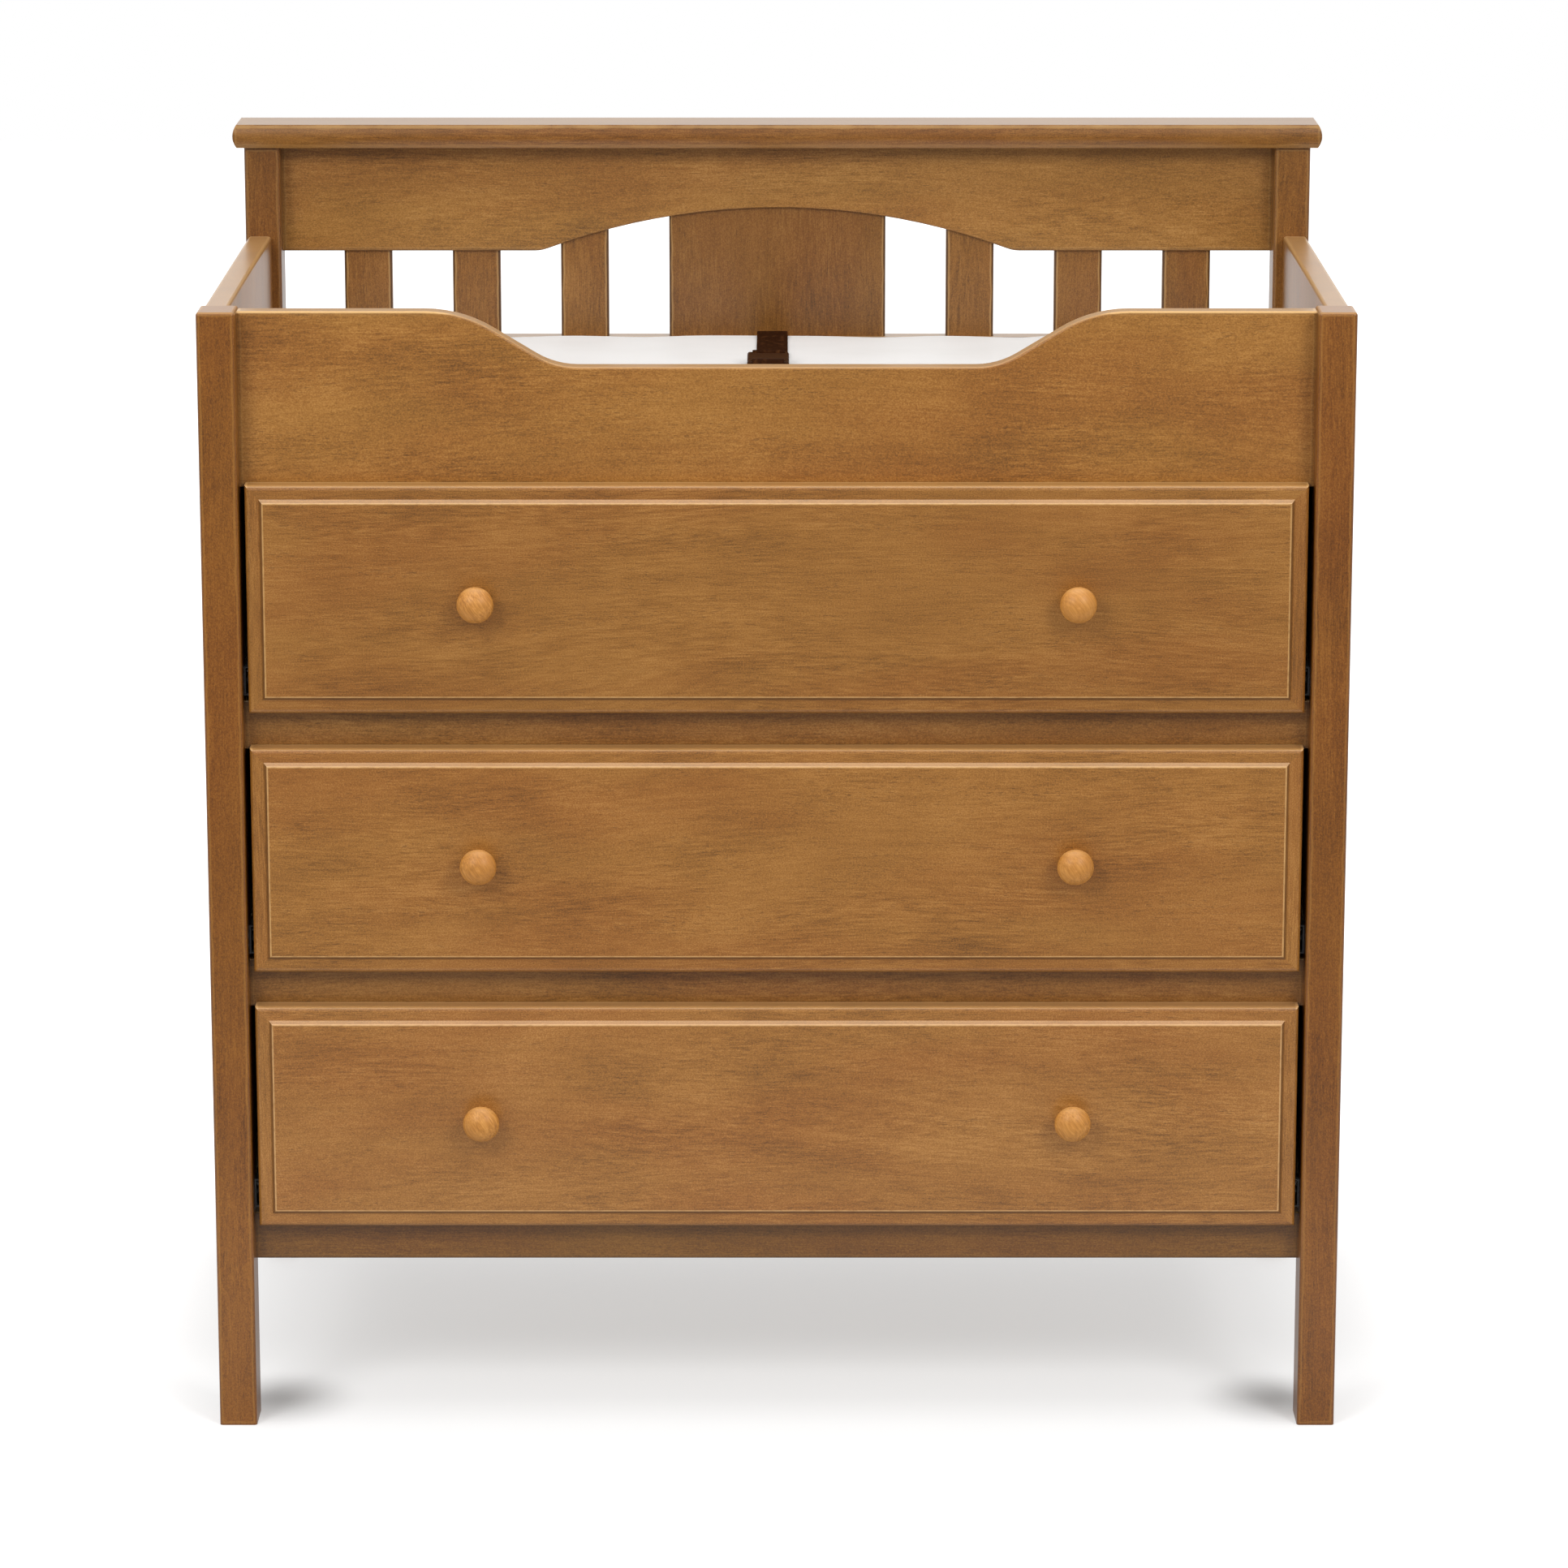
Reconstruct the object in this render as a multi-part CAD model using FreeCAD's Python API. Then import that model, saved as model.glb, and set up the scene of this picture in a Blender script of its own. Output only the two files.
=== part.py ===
import FreeCAD, Part
import math
import os
from FreeCAD import Vector

# Changing dresser: three drawers on roller slides under a railed tray that holds a belted pad.
# Millimetres. X runs to the right seen from the front, Y to the back and Z up. The origin lies
# on the floor, under the middle of the whole object's box.
# A "depth" below is a distance behind the front face of the front posts.

os.makedirs("parts", exist_ok=True)

# ---------------------------------------------------------------- driving dimensions
# Posts
CARCASS_WIDTH = 870.0          # over the outer faces of the posts
CARCASS_DEPTH = 468.0          # front face of the front posts to rear face of the back posts
POST_WIDTH = 29.0              # along X
POST_DEPTH = 38.0              # along Y
POST_ABOVE_GUARD = 2.0         # front posts above the guard panel
BACK_HEIGHT = 199.0            # tray floor to the top of the cap
POST_ROUND = 2.5
ROUND_LIMIT = 0.48             # largest rounding, as a share of a wall's thickness
OVERRUN = 1.0                  # how far a cutting shape runs past the face it starts from
# Side panels
SIDE_THICKNESS = 19.0
SIDE_REVEAL = 2.0              # the side panels stand this far inside the posts' outer faces
CARCASS_BOTTOM = 130.0         # lower edge of the side panels and the bottom rails
SIDE_ROUND = 2.8
# Rails and guard panel
RAIL_THICKNESS = 18.0
RAIL_HEIGHT = 37.5
RAIL_ROUND = 1.2
OPENING_HEIGHT = 166.0         # clear height of a drawer's opening
DRAWER_COUNT = 3
GUARD_HEIGHT = 133.5           # at its ends
GUARD_ROUND = 2.2
SCOOP_DROP = 42.5              # depth of the dip in the guard panel's top edge
SCOOP_FLAT_HALF = 150.0        # half length of the level bottom of the dip
SCOOP_SHOULDER_RADIUS = 100.0
SCOOP_TOE_RADIUS = 61.0
SCOOP_SLOPE = 31.0             # degrees
# Back
BACK_RAIL_THICKNESS = 18.0
ARCH_RAIL_HEIGHT = 87.6        # at its level ends
ARCH_RISE = 35.6
ARCH_RADIUS = 545.0
ARCH_BLEND_RADIUS = 30.0       # softens the corner between the arch and the level ends
ARCH_ROUND = 1.2
SLAT_WIDTH = 39.5
SLAT_THICKNESS = 10.0
SLAT_COUNT_SIDE = 3            # narrow slats on each side of the wide one
CENTRE_SLAT_WIDTH = 178.0
SLAT_ROUND = 3.0
SLAT_TENON = 12.0              # how far a slat stands in each rail
TRAY_RAIL_BELOW = 39.0         # how far the tray rail reaches below the tray floor's top
TRAY_RAIL_ABOVE = 21.0
BACK_PANEL_THICKNESS = 4.0
CAP_THICKNESS = 19.0
CAP_END_OVERHANG = 8.5         # past the posts' outer faces
CAP_FRONT_OVERHANG = 7.5       # past the back posts' front faces
CAP_REAR_OVERHANG = 10.0       # past the back posts' rear faces
CAP_BULGE = 3.0                # how far its edges swell at mid height
# Tray
TRAY_FLOOR_RISE = 26.5         # tray floor's top above the guard panel's lower edge
TRAY_FLOOR_THICKNESS = 12.0
CLEAT_SIZE = 16.0
# Drawer fronts
FRONT_SIDE_GAP = 4.5           # between a front and the posts
FRONT_THICKNESS = 19.0
FRONT_GAP = 1.0                # between a closed front and the rails
FRONT_LAP_BELOW = 6.5          # how far a front hangs below its opening
FRONT_LAP_ABOVE = 3.5          # how far it reaches above it
FRONT_EDGE_ROUND = 4.0
FIELD_INSET = 13.5             # from the front's edge to the raised field's edge
FIELD_RAISE = 3.0
FIELD_ARRIS = 0.8
# Drawer boxes
DRAWER_REAR_GAP = 27.0         # between a closed drawer and the back panel
DRAWER_SIDE_HEIGHT = 125.0
DRAWER_BOARD = 12.0
BOARD_ROUND = 2.0              # upper edges of the drawer's sides and back
DRAWER_LIFT = 6.0              # drawer side above the bottom of its opening
DRAWER_BOTTOM_THICKNESS = 4.0
DRAWER_BOTTOM_RISE = 10.0      # bottom panel above the drawer side's lower edge
DRAWER_GROOVE = 6.0
# Knobs
KNOB_DIAMETER = 28.0
KNOB_PROJECTION = 25.0
KNOB_SPACING = 455.0
KNOB_FOOT_DIAMETER = 17.0
KNOB_NECK_DIAMETER = 13.0
KNOB_NECK_HEIGHT = 6.0
KNOB_RIM_HEIGHT = 15.5         # height of the widest ring above the drawer front
KNOB_RIM_ROUND = 5.0           # radius that joins the widest ring to the dome
KNOB_HOLLOW = 0.7              # bow of the curves under the rim
KNOB_BORE_DEPTH = 14.0
SCREW_DIAMETER = 4.0
SCREW_HEAD_DIAMETER = 8.5
SCREW_HEAD_HEIGHT = 2.2
SCREW_CLEARANCE = 0.15
SCREW_TIP_GAP = 1.0            # between a screw's tip and the end of its bore
# Roller slides
SLIDE_SPACE = 12.7             # between a drawer side and the posts' inner faces
SLIDE_SHEET = 1.2
SLIDE_SETBACK = 2.0            # slide's front end behind the rails' front faces
ROLLER_DIAMETER = 17.4
ROLLER_WIDTH = 5.5
ROLLER_INSET = 12.0            # roller axis from the end of its member
ROLLER_ABOVE_SIDE = 8.0        # roller axis above the drawer side's lower edge
ROLLER_RUN_CLEARANCE = 0.3
AXLE_DIAMETER = 4.0
AXLE_CLEARANCE = 0.05
AXLE_HEAD_DIAMETER = 6.4
AXLE_HEAD_THICKNESS = 0.8
AXLE_SHOULDER = 1.9            # holds the roller off its member
ROLLER_SIDE_PLAY = 0.2
TRACK_WIDTH = 9.5
LIP_WIDTH = 5.0
LIP_CLEARANCE = 0.8
SHELF_WIDTH = 10.0             # flange under the drawer side
CARRY_CLEARANCE = 1.2          # flange over the fixed roller, from the fixed web
SPACER_HEIGHT = 30.0
# Fasteners
STUD_DIAMETER = 6.0
STUD_IN_POST = 11.0
STUD_REACH = 34.0              # from the joint to the cam's axis
CAM_DIAMETER = 15.0
CAM_DEPTH = 12.5
CAM_SLOT_WIDTH = 1.6
CAM_SLOT_DEPTH = 2.0
BOLT_DIAMETER = 6.0
BOLT_HEAD_DIAMETER = 13.0
BOLT_HEAD_HEIGHT = 4.0
BOLT_REACH = 30.0              # from the joint to the barrel nut's axis
BOLT_TIP = 6.0
NUT_DIAMETER = 10.0
NUT_LENGTH = 14.0
HOLE_CLEARANCE = 0.2
WALL_HOLE_DIAMETER = 4.5       # pilot holes for a wall strap
WALL_HOLE_DEPTH = 14.0
WALL_HOLE_SPACING = 400.0
# Pad and belt
PAD_END_GAP = 3.0              # between the pad and the back posts
PAD_SIDE_GAP = 5.0             # between the pad, the guard panel and the tray rail
PAD_EDGE_HEIGHT = 25.0
PAD_CROWN = 3.0                # middle above the edge
PAD_CORNER_RADIUS = 16.0
PAD_WAIST = 5.0                # how far the sides draw in between the corners
# Outlines of the pad from its foot up, each as shares: inset of the outline and its height,
# both of the edge height, and its height above that, of the crown
PAD_PROFILE = [(0.22, 0.0, 0.0), (0.0, 0.35, 0.0), (0.02, 0.68, 0.0), (0.30, 0.96, 0.0),
               (1.2, 1.0, 0.35), (3.2, 1.0, 0.8), (5.6, 1.0, 1.0)]
BELT_WIDTH = 25.0
BELT_THICKNESS = 1.4
BELT_OFF_PAD = 0.8
BELT_TAIL = 5.0                # belt's end above the tray floor
BELT_BEND = 8.5                # radius of the pad's edge under the belt
BELT_ASIDE = -7.0              # belt's middle from the dresser's, to the right
BUCKLE_FROM_REAR = 188.0       # buckle's rear end from the pad's rear edge
BUCKLE_WIDTH = 33.0
BUCKLE_HEIGHT = 9.0
SOCKET_LENGTH = 36.0
PLUG_LENGTH = 15.0
BUCKLE_ROUND = 2.0
BUCKLE_WALL = 2.0
BUCKLE_SLOT = 4.0
BUCKLE_BAR = 4.0
PRONG_WIDTH = 4.5
PRONG_LENGTH = 24.0            # guide tongue from the socket's mouth
ARM_LENGTH = 19.2              # each hooked prong from the socket's mouth
ARM_ROOT = 2.0                 # how far the prongs stand in the plug's head
CATCH_DEPTH = 14.4             # middle of the hooks from the socket's mouth
PRONG_HOOK = 2.4
PRONG_PLAY = 0.4
HOOK_LENGTH = 8.0
WINDOW_LENGTH = 10.0           # opening in the socket's side that a hook springs into

# ---------------------------------------------------------------- derived places
HALF_WIDTH = CARCASS_WIDTH / 2
POST_INNER = HALF_WIDTH - POST_WIDTH
SIDE_OUTER = HALF_WIDTH - SIDE_REVEAL
SIDE_INNER = SIDE_OUTER - SIDE_THICKNESS
FRONT_Y = (KNOB_PROJECTION - CARCASS_DEPTH - CAP_REAR_OVERHANG) / 2
RAIL_FRONT = POST_DEPTH - RAIL_THICKNESS
BACK_RAIL_FRONT = CARCASS_DEPTH - BACK_RAIL_THICKNESS
BACK_POST_FRONT = CARCASS_DEPTH - POST_DEPTH
PITCH = OPENING_HEIGHT + RAIL_HEIGHT
OPENING_BOTTOMS = [CARCASS_BOTTOM + RAIL_HEIGHT + i * PITCH for i in range(DRAWER_COUNT)]
GUARD_BOTTOM = OPENING_BOTTOMS[-1] + OPENING_HEIGHT
GUARD_TOP = GUARD_BOTTOM + GUARD_HEIGHT
FRONT_POST_HEIGHT = GUARD_TOP + POST_ABOVE_GUARD
TRAY_FLOOR_TOP = GUARD_BOTTOM + TRAY_FLOOR_RISE
BACK_POST_HEIGHT = TRAY_FLOOR_TOP + BACK_HEIGHT - CAP_THICKNESS
ARCH_RAIL_BOTTOM = BACK_POST_HEIGHT - ARCH_RAIL_HEIGHT
TRAY_RAIL_BOTTOM = TRAY_FLOOR_TOP - TRAY_RAIL_BELOW
TRAY_RAIL_TOP = TRAY_FLOOR_TOP + TRAY_RAIL_ABOVE
TRAY_FLOOR_BOTTOM = TRAY_FLOOR_TOP - TRAY_FLOOR_THICKNESS
FRONT_REAR = RAIL_FRONT - FRONT_GAP
FRONT_FACE = FRONT_REAR - FRONT_THICKNESS
FRONT_HALF = POST_INNER - FRONT_SIDE_GAP
FRONT_HEIGHT = OPENING_HEIGHT + FRONT_LAP_BELOW + FRONT_LAP_ABOVE
BOX_HALF = POST_INNER - SLIDE_SPACE
BOX_REAR = BACK_RAIL_FRONT - BACK_PANEL_THICKNESS - DRAWER_REAR_GAP
SLIDE_LENGTH = BOX_REAR - FRONT_REAR
TRACK_HALF = ROLLER_DIAMETER / 2 + ROLLER_RUN_CLEARANCE
SLIDE_FRONT = RAIL_FRONT + SLIDE_SETBACK
SLAT_GAP = (2 * POST_INNER - CENTRE_SLAT_WIDTH - 2 * SLAT_COUNT_SIDE * SLAT_WIDTH) \
    / (2 * SLAT_COUNT_SIDE + 2)
SLAT_FRONT = BACK_RAIL_FRONT + (BACK_RAIL_THICKNESS - SLAT_THICKNESS) / 2
PAD_MIDDLE = (POST_DEPTH + BACK_RAIL_FRONT) / 2
PAD_LENGTH = 2 * (POST_INNER - PAD_END_GAP)
PAD_DEPTH = BACK_RAIL_FRONT - POST_DEPTH - 2 * PAD_SIDE_GAP
BUCKLE_REAR = PAD_MIDDLE + PAD_DEPTH / 2 - BUCKLE_FROM_REAR
SIDES = {"left": -1, "right": 1}
DRAWER_NAMES = ["bottom", "middle", "top"]


# ---------------------------------------------------------------- helpers
def place(x, depth, z):
    """Point at x, at a depth behind the front posts' faces, at height z."""
    return Vector(x, FRONT_Y + depth, z)


def block(x0, x1, d0, d1, z0, z1):
    """Box between two x values, two depths and two heights."""
    corner = place(min(x0, x1), d0, z0)
    return Part.makeBox(abs(x1 - x0), d1 - d0, z1 - z0, corner)


def rod(diameter, start, end):
    """Round bar from one point to another."""
    run = end - start
    return Part.makeCylinder(diameter / 2, run.Length, start, run)


def joined(pieces):
    """One shape made of several overlapping or touching solids."""
    shape = pieces[0]
    for piece in pieces[1:]:
        shape = shape.fuse(piece)
    return shape.removeSplitter()


def without(shape, tools):
    """The shape with every tool cut away."""
    return shape.cut(Part.makeCompound(tools)) if tools else shape


def is_at(value, target):
    """True where a coordinate lies on a plane."""
    return abs(value - target) < 1e-4


def rounded(shape, radius, wall, wanted):
    """Round the edges that wanted(low corner, high corner) picks, within the wall's half."""
    edges = [e for e in shape.Edges if wanted(e.BoundBox)]
    return shape.makeFillet(min(radius, ROUND_LIMIT * wall), edges)


def upright(box):
    """True for an edge that runs along Z."""
    return is_at(box.XLength, 0) and is_at(box.YLength, 0)


def along_x(box):
    """True for an edge that runs along X."""
    return is_at(box.YLength, 0) and is_at(box.ZLength, 0)


def save(name, pieces):
    """Write one node, which may be a group of separate solids."""
    solids = [s for p in pieces for s in p.Solids]
    shape = solids[0] if len(solids) == 1 else Part.makeCompound(solids)
    shape.exportStep("parts/" + name + ".step")
    print(name, len(solids), "solid(s)", round(shape.Volume / 1000, 1), "cm3", shape.isValid())


# ---------------------------------------------------------------- fasteners
class Fasteners:
    """Cams, studs, bolts and barrel nuts, and the holes that they need."""

    def __init__(self):
        self.cams, self.studs, self.bolts, self.nuts = [], [], [], []
        self.holes = []

    def add_cam(self, joint, along, face, thickness):
        """Join a board to a post. joint lies on the joint, on the board's centre plane, along
        points from the joint into the board, and face points to the face that holds the cam."""
        axis = joint + along * STUD_REACH
        mouth = axis + face * (thickness / 2)
        floor = mouth - face * CAM_DEPTH
        tail = joint - along * STUD_IN_POST
        tip = axis + along * (STUD_DIAMETER / 2)
        stud = rod(STUD_DIAMETER, tail, tip)
        way = rod(STUD_DIAMETER + 2 * HOLE_CLEARANCE, tail, tip + along * HOLE_CLEARANCE)
        cam = rod(CAM_DIAMETER, floor, mouth).cut(way)
        across = along.cross(face)
        slot_floor = mouth - face * CAM_SLOT_DEPTH
        slot = self.bar(slot_floor, along, across, face)
        self.cams.append(cam.cut(slot))
        self.studs.append(stud)
        self.holes += [way, rod(CAM_DIAMETER + 2 * HOLE_CLEARANCE, floor, mouth + face)]

    def bar(self, middle, along, across, face):
        """Driver slot in a cam's face."""
        half = along * (CAM_DIAMETER / 3)
        edge = across * (CAM_SLOT_WIDTH / 2)
        corners = [middle - half - edge, middle + half - edge, middle + half + edge,
                   middle - half + edge]
        outline = Part.makePolygon(corners + corners[:1])
        return Part.Face(outline).extrude(face * (CAM_SLOT_DEPTH + OVERRUN))

    def add_bolt(self, side, z):
        """Bolt from behind through a back post into a barrel nut in the side panel."""
        x = side * (SIDE_INNER + SIDE_THICKNESS / 2)
        head_floor = CARCASS_DEPTH - BOLT_HEAD_HEIGHT
        nut_depth = BACK_POST_FRONT - BOLT_REACH
        tip = place(x, nut_depth - BOLT_TIP, z)
        neck = place(x, head_floor, z)
        end = place(x, CARCASS_DEPTH, z)
        beyond = place(x, CARCASS_DEPTH + OVERRUN, z)
        self.bolts.append(joined([rod(BOLT_DIAMETER, tip, neck),
                                  rod(BOLT_HEAD_DIAMETER, neck, end)]))
        way = rod(BOLT_DIAMETER + 2 * HOLE_CLEARANCE,
                  place(x, nut_depth - BOLT_TIP - OVERRUN, z), neck)
        nut_in = place(side * SIDE_INNER, nut_depth, z)
        nut_out = nut_in + Vector(side * NUT_LENGTH, 0, 0)
        self.nuts.append(rod(NUT_DIAMETER, nut_in, nut_out).cut(way))
        self.holes += [way, rod(BOLT_HEAD_DIAMETER + 2 * HOLE_CLEARANCE, neck, beyond),
                       rod(NUT_DIAMETER + 2 * HOLE_CLEARANCE, nut_in - Vector(side, 0, 0), nut_out)]


def fasten():
    """Every cam joint and bolt of the carcass."""
    work = Fasteners()
    rail_middle = RAIL_FRONT + RAIL_THICKNESS / 2
    back_middle = BACK_RAIL_FRONT + BACK_RAIL_THICKNESS / 2
    guard_heights = [TRAY_FLOOR_TOP + CLEAT_SIZE, GUARD_TOP - 2 * CAM_DIAMETER]
    rail_heights = [b - RAIL_HEIGHT / 2 for b in OPENING_BOTTOMS]
    back_heights = [CARCASS_BOTTOM + RAIL_HEIGHT / 2,
                    (TRAY_RAIL_BOTTOM + TRAY_RAIL_TOP) / 2,
                    (ARCH_RAIL_BOTTOM + BACK_POST_HEIGHT) / 2]
    panel_heights = [b + OPENING_HEIGHT / 2 for b in OPENING_BOTTOMS]
    for side in SIDES.values():
        inward = Vector(-side, 0, 0)
        for z in rail_heights + guard_heights:
            joint = place(side * POST_INNER, rail_middle, z)
            work.add_cam(joint, inward, Vector(0, 1, 0), RAIL_THICKNESS)
        for z in back_heights:
            joint = place(side * POST_INNER, back_middle, z)
            work.add_cam(joint, inward, Vector(0, 1, 0), BACK_RAIL_THICKNESS)
        for z in panel_heights:
            x = side * (SIDE_INNER + SIDE_THICKNESS / 2)
            work.add_cam(place(x, POST_DEPTH, z), Vector(0, 1, 0), inward, SIDE_THICKNESS)
            work.add_bolt(side, z)
    save("cam_locks", work.cams)
    save("cam_studs", work.studs)
    save("back_bolts", work.bolts)
    save("barrel_nuts", work.nuts)
    return work.holes


# ---------------------------------------------------------------- posts, panels and rails
def make_posts(holes):
    """Two short front posts and two tall back posts."""
    rows = {"front": (0.0, FRONT_POST_HEIGHT), "back": (BACK_POST_FRONT, BACK_POST_HEIGHT)}
    for row, (depth, height) in rows.items():
        for name, side in SIDES.items():
            post = block(side * POST_INNER, side * HALF_WIDTH, depth, depth + POST_DEPTH, 0, height)
            soft_top = row == "front"
            post = rounded(post, POST_ROUND, POST_WIDTH,
                           lambda b: upright(b) or (soft_top and is_at(b.ZMin, height)))
            save(row + "_post_" + name, [without(post, holes)])


def make_side_panels(holes):
    """Panels between the front and back posts."""
    for name, side in SIDES.items():
        panel = block(side * SIDE_INNER, side * SIDE_OUTER, POST_DEPTH, BACK_POST_FRONT,
                      CARCASS_BOTTOM, GUARD_TOP)
        panel = rounded(panel, SIDE_ROUND, SIDE_THICKNESS,
                        lambda b: is_at(b.ZMin, GUARD_TOP) and is_at(b.XLength, 0))
        save("side_panel_" + name, [without(panel, holes)])


def scoop_points():
    """Points of the right half of the guard panel's dip, from its level bottom outwards."""
    turn = math.radians(SCOOP_SLOPE)
    low = GUARD_TOP - SCOOP_DROP
    arcs_rise = (SCOOP_TOE_RADIUS + SCOOP_SHOULDER_RADIUS) * (1 - math.cos(turn))
    straight = (SCOOP_DROP - arcs_rise) / math.sin(turn)
    half = turn / 2
    toe = (SCOOP_FLAT_HALF, low)
    toe_mid = (toe[0] + SCOOP_TOE_RADIUS * math.sin(half),
               low + SCOOP_TOE_RADIUS * (1 - math.cos(half)))
    toe_end = (toe[0] + SCOOP_TOE_RADIUS * math.sin(turn),
               low + SCOOP_TOE_RADIUS * (1 - math.cos(turn)))
    rise = (toe_end[0] + straight * math.cos(turn), toe_end[1] + straight * math.sin(turn))
    shoulder = (rise[0] + SCOOP_SHOULDER_RADIUS * math.sin(turn), GUARD_TOP)
    shoulder_mid = (shoulder[0] - SCOOP_SHOULDER_RADIUS * math.sin(half),
                    GUARD_TOP - SCOOP_SHOULDER_RADIUS * (1 - math.cos(half)))
    return toe, toe_mid, toe_end, rise, shoulder_mid, shoulder


def flat_board(edges, depth, thickness):
    """Board cut to an outline of edges drawn at the depth, with its thickness to the back."""
    outline = Part.Wire(Part.__sortEdges__(edges))
    return Part.Face(outline).extrude(Vector(0, thickness, 0))


def line(a, b, depth):
    """Straight outline edge between two (x, z) points."""
    return Part.makeLine(place(a[0], depth, a[1]), place(b[0], depth, b[1]))


def arc(a, m, b, depth):
    """Round outline edge through three (x, z) points."""
    return Part.Arc(*[place(p[0], depth, p[1]) for p in (a, m, b)]).toShape()


def mirrored(point):
    """The (x, z) point on the other side of the middle."""
    return (-point[0], point[1])


def make_guard_panel(holes):
    """Front guard of the tray, with the dip in its top edge."""
    toe, toe_mid, toe_end, rise, shoulder_mid, shoulder = scoop_points()
    corner = (POST_INNER, GUARD_TOP)
    foot = (POST_INNER, GUARD_BOTTOM)
    edges = [line(mirrored(toe), toe, RAIL_FRONT), line(mirrored(foot), foot, RAIL_FRONT)]
    for flip in (lambda p: p, mirrored):
        edges += [arc(flip(toe), flip(toe_mid), flip(toe_end), RAIL_FRONT),
                  line(flip(toe_end), flip(rise), RAIL_FRONT),
                  arc(flip(rise), flip(shoulder_mid), flip(shoulder), RAIL_FRONT),
                  line(flip(shoulder), flip(corner), RAIL_FRONT),
                  line(flip(corner), flip(foot), RAIL_FRONT)]
    board = flat_board(edges, RAIL_FRONT, RAIL_THICKNESS)
    board = rounded(board, GUARD_ROUND, RAIL_THICKNESS,
                    lambda b: is_at(b.YLength, 0) and b.ZMin > GUARD_BOTTOM + OVERRUN)
    save("guard_panel", [without(board, holes)])


def make_front_rails(holes):
    """Bottom rail and the rails between the drawers."""
    names = ["front_bottom_rail", "lower_divider_rail", "upper_divider_rail"]
    for name, top in zip(names, OPENING_BOTTOMS):
        rail = block(-POST_INNER, POST_INNER, RAIL_FRONT, POST_DEPTH, top - RAIL_HEIGHT, top)
        rail = rounded(rail, RAIL_ROUND, RAIL_THICKNESS,
                       lambda b: along_x(b) and is_at(b.YMin, FRONT_Y + RAIL_FRONT))
        save(name, [without(rail, holes)])


def arch_height(x):
    """Height of the arch's underside at x."""
    crown = ARCH_RAIL_BOTTOM + ARCH_RISE
    x = min(abs(x), ARCH_RADIUS)
    return max(ARCH_RAIL_BOTTOM, crown - ARCH_RADIUS + math.sqrt(ARCH_RADIUS ** 2 - x ** 2))


def make_slats():
    """Narrow slats from left to right, then the wide middle one, all with rounded edges."""
    bottom = TRAY_RAIL_TOP - SLAT_TENON
    step = SLAT_WIDTH + SLAT_GAP
    back = SLAT_FRONT + SLAT_THICKNESS
    half = CENTRE_SLAT_WIDTH / 2
    narrow = []
    for side in SIDES.values():
        for i in range(SLAT_COUNT_SIDE):
            near = half + SLAT_GAP + i * step
            top = arch_height(near) + SLAT_TENON
            slat = block(side * near, side * (near + SLAT_WIDTH), SLAT_FRONT, back, bottom, top)
            narrow.append(rounded(slat, SLAT_ROUND, SLAT_THICKNESS, upright))
    centre = block(-half, half, SLAT_FRONT, back, bottom, arch_height(0) + SLAT_TENON)
    return narrow, rounded(centre, SLAT_ROUND, SLAT_THICKNESS, upright)


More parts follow.
